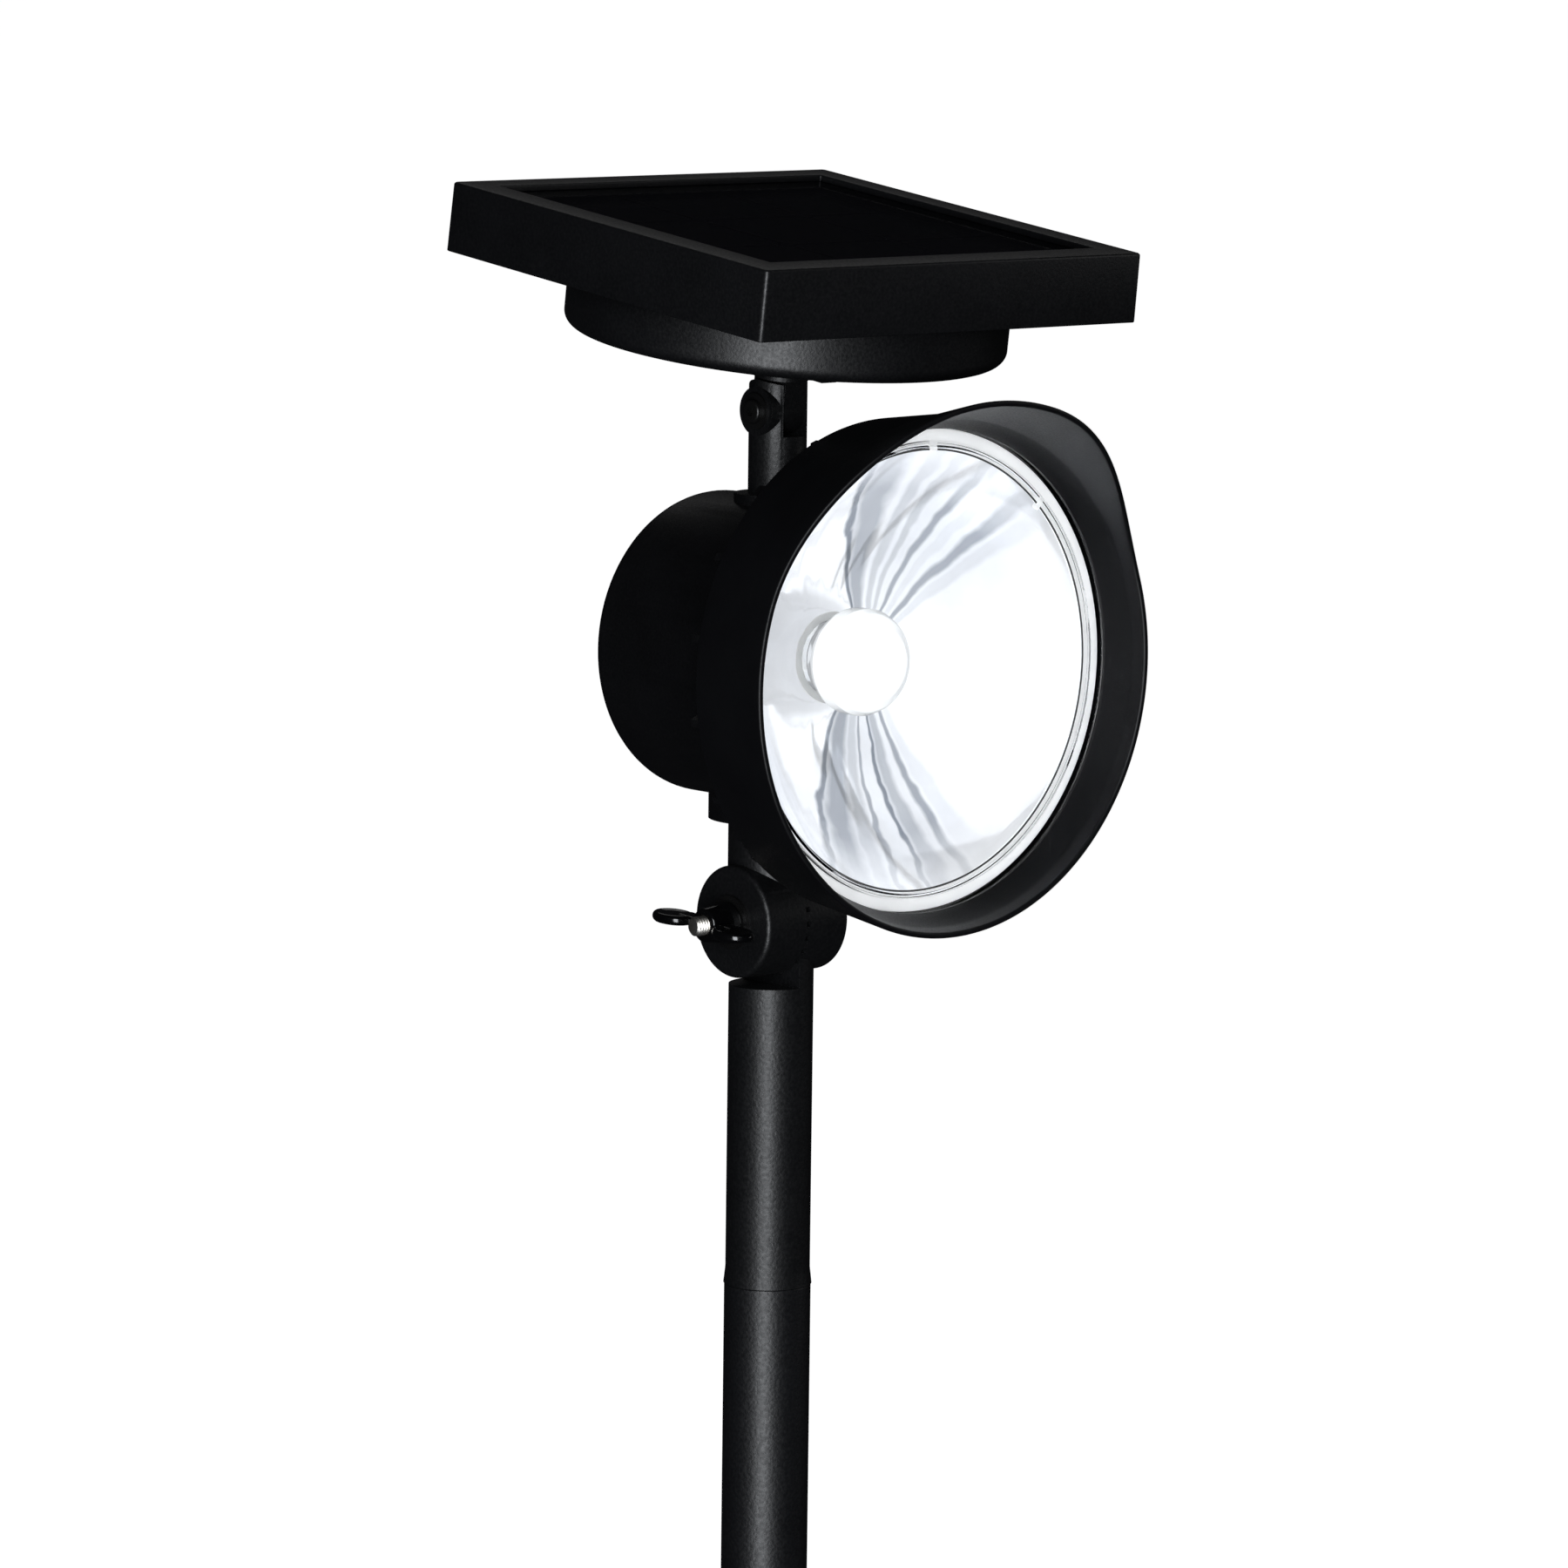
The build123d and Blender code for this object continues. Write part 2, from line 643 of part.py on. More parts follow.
with BuildPart() as hood:
    tip = HOOD_FRONT + VISOR_LENGTH
    tip_r = HOOD_FRONT_R + VISOR_LENGTH * tan(radians(VISOR_FLARE))
    with BuildSketch(lamp_plane()):
        with BuildLine():
            Polyline(
                (HOOD_BACK, HOOD_BACK_R),
                (HOOD_FRONT, HOOD_FRONT_R),
                (tip, tip_r),
                (tip, tip_r - HOOD_WALL),
                (HOOD_FRONT, HOOD_FRONT_R - HOOD_WALL),
                (LIP_FRONT, LIP_R),
                (LIP_BACK, LIP_R),
                (LIP_BACK, LIP_SEAT_R),
                (HOOD_BACK, HOOD_BACK_R - HOOD_WALL),
                close=True,
            )
        make_face()
    revolve(axis=LAMP_AXIS)
    # Cut the visor's edge: full length at the top, falling to the plain rim at the sides
    with BuildSketch(lamp_plane()):
        with BuildLine():
            Spline(*[visor_point(step) for step in range(VISOR_STEPS + 1)], tangents=((0, -1), (0, -1)))
            Polyline(
                visor_point(VISOR_STEPS),
                (HOOD_FRONT, -2 * FAR - HOOD_WALL),
                (tip + FAR, -2 * FAR - HOOD_WALL),
                (tip + FAR, visor_point(0)[1]),
                visor_point(0),
            )
        make_face()
    extrude(amount=3 * FAR, both=True, mode=Mode.SUBTRACT)

# ================================================================ panel arm and its hinge
with BuildPart() as panel_arm:
    with BuildSketch(Plane.XY.offset(TOP_BOSS_Z)):
        Circle(ARM_R)
    extrude(amount=HINGE_Z + CHEEK_R - TOP_BOSS_Z)
    # Cheek tops rounded about the hinge behind and sloped in front, clear of the panel's collar
    with BuildSketch(side_plane(-FAR / 2)):
        with Locations((0, HINGE_Z - FAR)):
            Rectangle(FAR, 2 * FAR)
        with Locations((-FAR / 2, HINGE_Z)):
            Rectangle(FAR, FAR)
        with Locations((0, HINGE_Z)):
            Circle(CHEEK_R)
    extrude(amount=FAR, mode=Mode.INTERSECT)
    with BuildSketch(cheek_plane(-FAR / 2)):
        with Locations((0, CHEEK_R + FAR / 2)):
            Rectangle(2 * FAR, FAR)
    extrude(amount=FAR, mode=Mode.SUBTRACT)
    # Flat pad under the washer
    with BuildSketch(side_plane(-PAD_X)):
        with Locations((0, HINGE_Z)):
            Circle(PAD_R)
    extrude(amount=PAD_X)
    with BuildSketch(Plane.XY.offset(SLOT_FLOOR)):
        Rectangle(2 * SLOT_HALF, FAR)
    extrude(amount=FAR, mode=Mode.SUBTRACT)
    with BuildSketch(side_plane(-FAR)):
        with Locations((0, HINGE_Z)):
            Circle(HINGE_BOLT_R + HINGE_FIT)
    extrude(amount=2 * FAR, mode=Mode.SUBTRACT)
    # Pocket that holds the hinge nut flush with the far cheek
    with BuildSketch(side_plane(HINGE_NUT_X)):
        with Locations((0, HINGE_Z)):
            RegularPolygon(HINGE_NUT_R + HINGE_FIT, 6)
    extrude(amount=FAR, mode=Mode.SUBTRACT)
    # Tenon down into the housing
    with BuildSketch(Plane.XY.offset(TOP_BOSS_Z)):
        Circle(ARM_TENON_R)
    extrude(amount=HEAD_Z + SEAT - TOP_BOSS_Z)
    with BuildSketch(Plane.XY.offset(HEAD_Z + SEAT)):
        Circle(SMALL_SCREW_R)
    extrude(amount=SCREW_LENGTH, mode=Mode.SUBTRACT)

with BuildPart() as arm_screw:
    with BuildSketch(Plane.XY.offset(HEAD_Z + SEAT)):
        Circle(ARM_TENON_R + HEAD_EXTRA_R)
    extrude(amount=-SMALL_HEAD_THICK)
    with BuildSketch(Plane.XY.offset(HEAD_Z + SEAT)):
        Circle(SMALL_SCREW_R)
    extrude(amount=SCREW_LENGTH)

with BuildPart() as hinge_bolt:
    with BuildSketch(side_plane(-PAD_X - HINGE_WASHER)):
        with Locations((0, HINGE_Z)):
            Circle(HINGE_BOLT_R)
    extrude(amount=PAD_X + HINGE_WASHER + HINGE_NUT_X + HINGE_NUT)
    with BuildSketch(side_plane(-PAD_X - HINGE_WASHER)):
        with Locations((0, HINGE_Z)):
            Circle(HINGE_HEAD_R)
    extrude(amount=-HINGE_HEAD)
    fillet(edges().group_by(Axis.X)[0], radius=HINGE_HEAD_EDGE)
    with BuildSketch(side_plane(-PAD_X - HINGE_WASHER - HINGE_HEAD)):
        with Locations((0, HINGE_Z)):
            RegularPolygon(HINGE_SOCKET_R, 6)
    extrude(amount=HINGE_HEAD, mode=Mode.SUBTRACT)

with BuildPart() as hinge_washer:
    with BuildSketch(side_plane(-PAD_X - HINGE_WASHER)):
        with Locations((0, HINGE_Z)):
            Circle(HINGE_WASHER_R)
            Circle(HINGE_BOLT_R + HINGE_FIT, mode=Mode.SUBTRACT)
    extrude(amount=HINGE_WASHER)

with BuildPart() as hinge_nut:
    with BuildSketch(side_plane(HINGE_NUT_X)):
        with Locations((0, HINGE_Z)):
            RegularPolygon(HINGE_NUT_R, 6)
            Circle(HINGE_BOLT_R + HINGE_FIT, mode=Mode.SUBTRACT)
    extrude(amount=HINGE_NUT)

# ================================================================ panel stub and battery can
with BuildPart() as panel_stub:
    # Tongue with a round end about the hinge
    with BuildSketch(side_plane(-TONGUE_HALF)):
        with Locations((0, HINGE_Z)):
            Circle(TONGUE_R)
    extrude(amount=2 * TONGUE_HALF)
    with BuildSketch(panel_plane(0)):
        Rectangle(2 * TONGUE_HALF, 2 * TONGUE_R)
    extrude(amount=STUB_COLLAR_BASE)
    with BuildSketch(side_plane(-FAR)):
        with Locations((0, HINGE_Z)):
            Circle(HINGE_BOLT_R + HINGE_FIT)
    extrude(amount=2 * FAR, mode=Mode.SUBTRACT)
    with BuildSketch(panel_plane(STUB_COLLAR_BASE)):
        Circle(STUB_COLLAR_R)
    extrude(amount=STUB_COLLAR_TOP - STUB_COLLAR_BASE)
    with BuildSketch(panel_plane(STUB_COLLAR_TOP)):
        Circle(STUB_BOSS_R)
    extrude(amount=CAN_BASE - STUB_COLLAR_TOP)
    with BuildSketch(panel_plane(CAN_BASE)):
        Circle(STUB_TENON_R)
    extrude(amount=WALL + STUB_NUT)

with BuildPart() as stub_nut:
    with BuildSketch(panel_plane(CAN_BASE + WALL)):
        RegularPolygon(STUB_NUT_R, 6)
        Circle(STUB_TENON_R + TENON_FIT, mode=Mode.SUBTRACT)
    extrude(amount=STUB_NUT)

with BuildPart() as battery_housing:
    with BuildSketch(panel_plane(CAN_BASE)):
        Circle(CAN_R)
    extrude(amount=FRAME_BASE - CAN_BASE)
    fillet(edges().group_by(PANEL_AXIS)[0], radius=CAN_EDGE)
    with BuildSketch(panel_plane(FRAME_BASE)):
        RectangleRounded(
            FRAME_X - 2 * FRAME_WALL - 2 * PLATE_GAP,
            FRAME_Y - 2 * FRAME_WALL - 2 * PLATE_GAP,
            FRAME_CORNER,
        )
    extrude(amount=PLATE_THICK)
    with BuildSketch(panel_plane(CAN_BASE + WALL)):
        Circle(CAN_R - WALL)
    extrude(amount=FRAME_BASE + PLATE_THICK - CAN_BASE, mode=Mode.SUBTRACT)
    with BuildSketch(panel_plane(CAN_BASE)):
        Circle(STUB_TENON_R + TENON_FIT)
        with Locations(SWITCH_AT):
            Rectangle(SWITCH_SLOT_X, SWITCH_SLOT_Y)
    extrude(amount=WALL, mode=Mode.SUBTRACT)
    # Screw holes, with sinks that hide the heads
    with BuildSketch(panel_plane(FRAME_BASE)):
        with GridLocations(2 * PANEL_SCREW_X, 2 * PANEL_SCREW_Y, 2, 2):
            Circle(SMALL_SCREW_R + 2 * TENON_FIT)
    extrude(amount=PLATE_THICK, mode=Mode.SUBTRACT)
    with BuildSketch(panel_plane(FRAME_BASE)):
        with GridLocations(2 * PANEL_SCREW_X, 2 * PANEL_SCREW_Y, 2, 2):
            Circle(SMALL_HEAD_R + 2 * TENON_FIT)
    extrude(amount=PANEL_HEAD_SINK, mode=Mode.SUBTRACT)

with BuildPart() as battery_tray:
    with BuildSketch(panel_plane(TRAY_Z)):
        Rectangle(TRAY_X, TRAY_Y)
    extrude(amount=TRAY_FLOOR)
    with BuildSketch(panel_plane(TRAY_Z + TRAY_FLOOR)):
        Rectangle(TRAY_X, TRAY_Y)
        Rectangle(AA_LENGTH + 2 * AA_NUB + TRAY_SLACK, TRAY_Y, mode=Mode.SUBTRACT)
    extrude(amount=TRAY_END)
    with BuildSketch(panel_plane(CAN_BASE + WALL)):
        with GridLocations(TRAY_FEET_X, TRAY_FEET_Y, 2, 2):
            Circle(FOOT_R)
    extrude(amount=TRAY_Z - CAN_BASE - WALL)

with BuildPart() as battery_cells:
    cell_centre = TRAY_Z + TRAY_FLOOR + AA_RADIUS + AA_CLEARANCE
    for row in (-AA_PITCH, 0, AA_PITCH):
        spot = panel_plane(cell_centre).from_local_coords((-AA_LENGTH / 2, row, 0))
        with BuildSketch(Plane(spot, x_dir=(0, 1, 0), z_dir=(1, 0, 0))):
            Circle(AA_RADIUS)
        extrude(amount=AA_LENGTH)
        with BuildSketch(Plane(spot, x_dir=(0, 1, 0), z_dir=(1, 0, 0))):
            Circle(AA_NUB_R)
        extrude(amount=-AA_NUB)

with BuildPart() as control_board:
    with BuildSketch(panel_plane(PCB_Z)):
        with Locations((0, PCB_AT)):
            Rectangle(PCB_X, PCB_Y)
    extrude(amount=BOARD_THICK)
    # Stand-off pads under the board and the charge chip and capacitor on it
    with BuildSketch(panel_plane(CAN_BASE + WALL)):
        with Locations((-PCB_FEET, PCB_AT), (PCB_FEET, PCB_AT)):
            Circle(FOOT_R)
    extrude(amount=PCB_Z - CAN_BASE - WALL)
    with BuildSketch(panel_plane(PCB_Z + BOARD_THICK)):
        with Locations((CHIP_AT, PCB_AT)):
            Rectangle(CHIP_X, CHIP_Y)
        with Locations((CAPACITOR_AT, PCB_AT)):
            Circle(CAPACITOR_R)
    extrude(amount=COMPONENT_HEIGHT)

with BuildPart() as switch_body:
    with BuildSketch(panel_plane(CAN_BASE + WALL)):
        with Locations(SWITCH_AT):
            Rectangle(SWITCH_X, SWITCH_Y)
    extrude(amount=SWITCH_HEIGHT)
    with BuildSketch(panel_plane(CAN_BASE + WALL)):
        with Locations(SWITCH_AT):
            Rectangle(SWITCH_SLOT_X, SWITCH_SLOT_Y)
    extrude(amount=SLIDER_PROUD, mode=Mode.SUBTRACT)

with BuildPart() as switch_slider:
    with BuildSketch(panel_plane(CAN_BASE - SLIDER_PROUD)):
        with Locations((SWITCH_AT[0] + SLIDER_START, SWITCH_AT[1])):
            Rectangle(SLIDER_X, SLIDER_Y)
    extrude(amount=SLIDER_PROUD + WALL + SLIDER_PROUD - SLIDER_FIT)

# ================================================================ solar panel
with BuildPart() as panel_frame:
    with BuildSketch(panel_plane(FRAME_BASE)):
        RectangleRounded(FRAME_X, FRAME_Y, FRAME_CORNER)
    extrude(amount=FRAME_HEIGHT, taper=FRAME_DRAFT)
    with BuildSketch(panel_plane(FRAME_BASE)):
        RectangleRounded(FRAME_X - 2 * FRAME_WALL, FRAME_Y - 2 * FRAME_WALL, FRAME_CORNER)
    extrude(amount=FRAME_HEIGHT - FRAME_TOP, taper=FRAME_DRAFT, mode=Mode.SUBTRACT)
    draft_loss = 2 * FRAME_HEIGHT * tan(radians(FRAME_DRAFT))
    with BuildSketch(panel_plane(FRAME_BASE)):
        Rectangle(FRAME_X - draft_loss - 2 * RIM_WIDTH, FRAME_Y - draft_loss - 2 * RIM_WIDTH)
    extrude(amount=FAR, mode=Mode.SUBTRACT)
    # Corner blocks that take the screws of the battery housing
    block_x = PANEL_SCREW_X + CORNER_BLOCK_SHIFT
    block_y = PANEL_SCREW_Y + CORNER_BLOCK_SHIFT
    with BuildSketch(panel_plane(FRAME_BASE + PLATE_THICK)):
        with GridLocations(2 * block_x, 2 * block_y, 2, 2):
            Rectangle(CORNER_BLOCK, CORNER_BLOCK)
        with GridLocations(2 * PANEL_SCREW_X, 2 * PANEL_SCREW_Y, 2, 2):
            Circle(SMALL_SCREW_R, mode=Mode.SUBTRACT)
    extrude(amount=CORNER_BLOCK_HEIGHT)

with BuildPart() as housing_screws:
    with BuildSketch(panel_plane(FRAME_BASE + PANEL_HEAD_SINK)):
        with GridLocations(2 * PANEL_SCREW_X, 2 * PANEL_SCREW_Y, 2, 2):
            Circle(SMALL_HEAD_R)
    extrude(amount=-PANEL_HEAD_THICK)
    with BuildSketch(panel_plane(FRAME_BASE + PANEL_HEAD_SINK)):
        with GridLocations(2 * PANEL_SCREW_X, 2 * PANEL_SCREW_Y, 2, 2):
            Circle(SMALL_SCREW_R)
    extrude(amount=SCREW_LENGTH)

GLASS_TOP = FRAME_BASE + FRAME_HEIGHT - FRAME_TOP
with BuildPart() as solar_glass:
    with BuildSketch(panel_plane(GLASS_TOP)):
        Rectangle(GLASS_X, GLASS_Y)
    extrude(amount=-GLASS_THICK)

with BuildPart() as solar_cells:
    with BuildSketch(panel_plane(GLASS_TOP - GLASS_THICK)):
        Rectangle(CELL_X, CELL_Y)
    extrude(amount=-CELL_THICK)

with BuildPart() as solar_backing:
    with BuildSketch(panel_plane(GLASS_TOP - GLASS_THICK - CELL_THICK)):
        Rectangle(GLASS_X, GLASS_Y)
    extrude(amount=-BACKING_THICK)

with BuildPart() as panel_seal:
    with BuildSketch(panel_plane(GLASS_TOP)):
        Rectangle(GLASS_X + 2 * SEAL_WIDTH, GLASS_Y + 2 * SEAL_WIDTH)
        Rectangle(GLASS_X, GLASS_Y, mode=Mode.SUBTRACT)
    extrude(amount=-SEAL_HEIGHT)

# ================================================================ output
PIECES = {
    "ground_stake": ground_stake,
    "lower_tube": lower_tube,
    "upper_post": upper_post,
    "pivot_bolt": pivot_bolt,
    "pivot_washer": pivot_washer,
    "wing_nut": wing_nut,
    "neck_bracket": neck_bracket,
    "neck_screw": neck_screw,
    "rear_housing": rear_housing,
    "led_mount": led_mount,
    "mount_screws": mount_screws,
    "led_board": led_board,
    "led_emitter": led_emitter,
    "bulb_ring": bulb_ring,
    "bulb_globe": bulb_globe,
    "reflector": reflector,
    "lens_gasket": lens_gasket,
    "lens": lens,
    "hood": hood,
    "panel_arm": panel_arm,
    "arm_screw": arm_screw,
    "hinge_bolt": hinge_bolt,
    "hinge_washer": hinge_washer,
    "hinge_nut": hinge_nut,
    "panel_stub": panel_stub,
    "stub_nut": stub_nut,
    "battery_housing": battery_housing,
    "battery_tray": battery_tray,
    "battery_cells": battery_cells,
    "control_board": control_board,
    "switch_body": switch_body,
    "switch_slider": switch_slider,
    "panel_frame": panel_frame,
    "housing_screws": housing_screws,
    "solar_glass": solar_glass,
    "solar_cells": solar_cells,
    "solar_backing": solar_backing,
    "panel_seal": panel_seal,
}

os.makedirs("parts", exist_ok=True)
for name, piece in PIECES.items():
    piece.part.label = name
    export_step(piece.part, f"parts/{name}.step")
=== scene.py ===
import json
import math

import bmesh
import bpy
from mathutils import Matrix, Vector


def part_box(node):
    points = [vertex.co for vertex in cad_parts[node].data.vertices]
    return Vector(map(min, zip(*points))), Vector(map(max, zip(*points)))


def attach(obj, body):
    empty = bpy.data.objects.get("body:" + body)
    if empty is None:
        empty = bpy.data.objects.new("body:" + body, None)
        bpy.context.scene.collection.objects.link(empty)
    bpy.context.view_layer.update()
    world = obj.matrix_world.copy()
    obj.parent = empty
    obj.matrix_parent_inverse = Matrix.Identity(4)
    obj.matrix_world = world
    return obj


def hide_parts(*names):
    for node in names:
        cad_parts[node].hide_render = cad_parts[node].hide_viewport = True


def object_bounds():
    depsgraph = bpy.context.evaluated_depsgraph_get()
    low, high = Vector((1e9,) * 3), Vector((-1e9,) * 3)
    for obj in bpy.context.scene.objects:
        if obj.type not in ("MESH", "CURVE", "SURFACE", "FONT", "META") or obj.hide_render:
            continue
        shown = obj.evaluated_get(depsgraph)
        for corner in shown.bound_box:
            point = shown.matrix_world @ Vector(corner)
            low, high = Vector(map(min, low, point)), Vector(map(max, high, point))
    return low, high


# Looks of the solar garden light, in metres, in the row frame: +Z up, the lamp looks along -Y,
# the wing nut is on the -X side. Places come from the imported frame; only small mouldings are set here.

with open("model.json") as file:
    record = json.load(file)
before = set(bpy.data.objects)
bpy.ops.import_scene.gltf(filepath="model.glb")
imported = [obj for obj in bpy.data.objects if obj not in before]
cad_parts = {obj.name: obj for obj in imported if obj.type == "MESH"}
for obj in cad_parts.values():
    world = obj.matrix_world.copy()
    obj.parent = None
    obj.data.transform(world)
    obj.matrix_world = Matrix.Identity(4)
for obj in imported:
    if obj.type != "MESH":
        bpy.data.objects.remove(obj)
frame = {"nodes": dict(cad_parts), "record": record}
cad_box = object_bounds()

MM = 0.001


def centre_of(node):
    low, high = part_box(node)
    return (low + high) / 2


PIVOT = centre_of("pivot_washer")
LAMP_Z = centre_of("lens").z
LENS_LOW, LENS_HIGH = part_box("lens")
LENS_FRONT = -LENS_LOW.y / MM
LENS_BACK = -LENS_HIGH.y / MM
LENS_R = (LENS_HIGH.x - LENS_LOW.x) / 2 / MM
HOOD_LOW, HOOD_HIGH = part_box("hood")
HOOD_BACK = -HOOD_HIGH.y / MM
HOOD_TIP = -HOOD_LOW.y / MM


# ================================================================ mesh helpers
def mesh_piece(name, points, faces, body, slot, replaced=()):
    """A new piece from points in metres; it rides on a body and stands for CAD nodes."""
    mesh = bpy.data.meshes.new(name)
    mesh.from_pydata([tuple(p) for p in points], [], faces)
    mesh.validate()
    working = bmesh.new()
    working.from_mesh(mesh)
    bmesh.ops.remove_doubles(working, verts=working.verts, dist=1e-7)
    bmesh.ops.recalc_face_normals(working, faces=working.faces)
    working.to_mesh(mesh)
    working.free()
    piece = bpy.data.objects.new(name, mesh)
    bpy.context.scene.collection.objects.link(piece)
    return settle(piece, body, slot, replaced)


def settle(piece, body, slot, replaced=()):
    """Material, smooth shading, the body it rides on and the nodes it stands for."""
    piece.data.materials.clear()
    piece.data.materials.append(MATERIALS[slot])
    smooth(piece.data)
    if replaced:
        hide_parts(*replaced)
    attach(piece, body)
    return piece


def smooth(mesh, sharp_angle=35.0):
    """Smooth shading with sharp edges kept where faces meet at more than the angle."""
    mesh.polygons.foreach_set("use_smooth", [True] * len(mesh.polygons))
    mesh.set_sharp_from_angle(angle=math.radians(sharp_angle))


def arc_corner(before, corner, after, radius, steps):
    """Points of a round in place of a corner, in the plane of the three points."""
    towards_before = (before - corner).normalized()
    towards_after = (after - corner).normalized()
    half = math.acos(max(-1.0, min(1.0, towards_before.dot(towards_after)))) / 2
    if radius <= 0 or half > math.radians(89.5):
        return [corner.copy()] * (steps + 1)
    reach = min(radius / math.tan(half), 0.49 * (before - corner).length, 0.49 * (after - corner).length)
    radius = reach * math.tan(half)
    bisector = (towards_before + towards_after).normalized()
    middle = corner + bisector * (radius / math.sin(half))
    start = corner + towards_before * reach - middle
    end = corner + towards_after * reach - middle
    sweep = start.angle(end)
    points = []
    for step in range(steps + 1):
        share = step / steps
        point = start * math.sin((1 - share) * sweep) + end * math.sin(share * sweep)
        points.append(middle + point / math.sin(sweep))
    return points


def rounded_outline(corners, steps=5, closed=True):
    """Corners as (u, v, radius) in mm to a list of 2-D points with each corner rounded."""
    spots = [Vector((u, v)) for u, v, _ in corners]
    outline = []
    for i, (_, _, radius) in enumerate(corners):
        if not closed and i in (0, len(corners) - 1):
            outline.append(spots[i])
            continue
        outline += arc_corner(spots[i - 1], spots[i], spots[(i + 1) % len(spots)], radius, steps)
    return outline


def grid_faces(rows, columns, wrap_rows, wrap_columns):
    faces = []
    for i in range(rows if wrap_rows else rows - 1):
        for j in range(columns if wrap_columns else columns - 1):
            a = i * columns + j
            b = i * columns + (j + 1) % columns
            c = (i + 1) % rows * columns + (j + 1) % columns
            d = (i + 1) % rows * columns + j
            faces.append((a, b, c, d))
    return faces


def lamp_point(forward, radius, angle):
    """A point about the lamp's axis, from mm. Angle 0 is up and a quarter turn is +X."""
    return Vector(
        (radius * MM * math.sin(angle), -forward * MM, LAMP_Z + radius * MM * math.cos(angle))
    )


def lamp_ring(name, section, turns, body, slot, replaced=()):
    """Closed ring about the lamp's axis; section(angle) gives its (forward, radius) outline in mm."""
    points = []
    count = 0
    for turn in range(turns):
        angle = 2 * math.pi * turn / turns
        outline = section(angle)
        count = len(outline)
        points += [lamp_point(p[0], p[1], angle) for p in outline]
    return mesh_piece(name, points, grid_faces(turns, count, True, True), body, slot, replaced)


def lamp_solid(name, outline, turns, body, slot, replaced=()):
    """Closed solid of revolution about the lamp's axis; the outline starts and ends on the axis."""
    inner = outline[1:-1]
    points = []
    for turn in range(turns):
        angle = 2 * math.pi * turn / turns
        points += [lamp_point(p[0], p[1], angle) for p in inner]
    faces = grid_faces(turns, len(inner), True, False)
    first = len(points)
    points.append(lamp_point(outline[0][0], 0, 0))
    points.append(lamp_point(outline[-1][0], 0, 0))
    for turn in range(turns):
        here, after = turn * len(inner), (turn + 1) % turns * len(inner)
        faces.append((first, after, here))
        faces.append((first + 1, here + len(inner) - 1, after + len(inner) - 1))
    return mesh_piece(name, points, faces, body, slot, replaced)


# ================================================================ material helpers
def new_material(name):
    material = bpy.data.materials.new(name)
    material.use_nodes = True
    tree = material.node_tree
    return material, tree, tree.nodes["Principled BSDF"]


def object_noise(tree, size, detail=2.0, stretch=(1, 1, 1)):
    """Noise fixed to the object, with features of about the given size in metres."""
    place = tree.nodes.new("ShaderNodeTexCoord")
    scale = tree.nodes.new("ShaderNodeMapping")
    scale.inputs["Scale"].default_value = stretch
    noise = tree.nodes.new("ShaderNodeTexNoise")
    noise.inputs["Scale"].default_value = 1 / size
    noise.inputs["Detail"].default_value = detail
    tree.links.new(place.outputs["Object"], scale.inputs["Vector"])
    tree.links.new(scale.outputs["Vector"], noise.inputs["Vector"])
    return noise.outputs["Fac"]


def ranged(tree, value, low, high, start=0.3, end=0.7):
    """Maps a 0-1 value, clamped between start and end, to low-high."""
    node = tree.nodes.new("ShaderNodeMapRange")
    node.inputs["From Min"].default_value = start
    node.inputs["From Max"].default_value = end
    node.inputs["To Min"].default_value = low
    node.inputs["To Max"].default_value = high
    tree.links.new(value, node.inputs["Value"])
    return node.outputs["Result"]


def blended_colour(tree, value, dark, light):
    node = tree.nodes.new("ShaderNodeMix")
    node.data_type = "RGBA"
    node.inputs["A"].default_value = (*dark, 1)
    node.inputs["B"].default_value = (*light, 1)
    tree.links.new(value, node.inputs["Factor"])
    return node.outputs["Result"]


def blended_over(tree, below, mask, colour):
    """A colour laid over another where the mask is 1."""
    node = tree.nodes.new("ShaderNodeMix")
    node.data_type = "RGBA"
    node.inputs["B"].default_value = (*colour, 1)
    tree.links.new(mask, node.inputs["Factor"])
    tree.links.new(below, node.inputs["A"])
    return node.outputs["Result"]


def add_bump(tree, surface, height, depth, strength=1.0, after=None):
    bump = tree.nodes.new("ShaderNodeBump")
    bump.inputs["Distance"].default_value = depth
    bump.inputs["Strength"].default_value = strength
    tree.links.new(height, bump.inputs["Height"])
    if after is not None:
        tree.links.new(after, bump.inputs["Normal"])
    tree.links.new(bump.outputs["Normal"], surface.inputs["Normal"])
    return bump.outputs["Normal"]


def black_finish(name, dark, light, roughness, grain, depth, gloss=0.5, coat=0.0):
    """Black plastic or paint: fine grain, cloudy tone and a roughness that varies with handling."""
    material, tree, surface = new_material(name)
    cloud = object_noise(tree, 18 * MM, detail=3)
    speck = object_noise(tree, grain, detail=3)
    wear = ranged(tree, cloud, 0.0, 1.0)
    tree.links.new(blended_colour(tree, wear, dark, light), surface.inputs["Base Color"])
    spread = ranged(tree, speck, roughness - 0.06, roughness + 0.08)
    tree.links.new(spread, surface.inputs["Roughness"])
    surface.inputs["Specular IOR Level"].default_value = gloss
    surface.inputs["Coat Weight"].default_value = coat
    surface.inputs["Coat Roughness"].default_value = 0.12
    swell = add_bump(tree, surface, cloud, 20e-6, 0.4)
    add_bump(tree, surface, speck, depth, 1.0, after=swell)
    return material


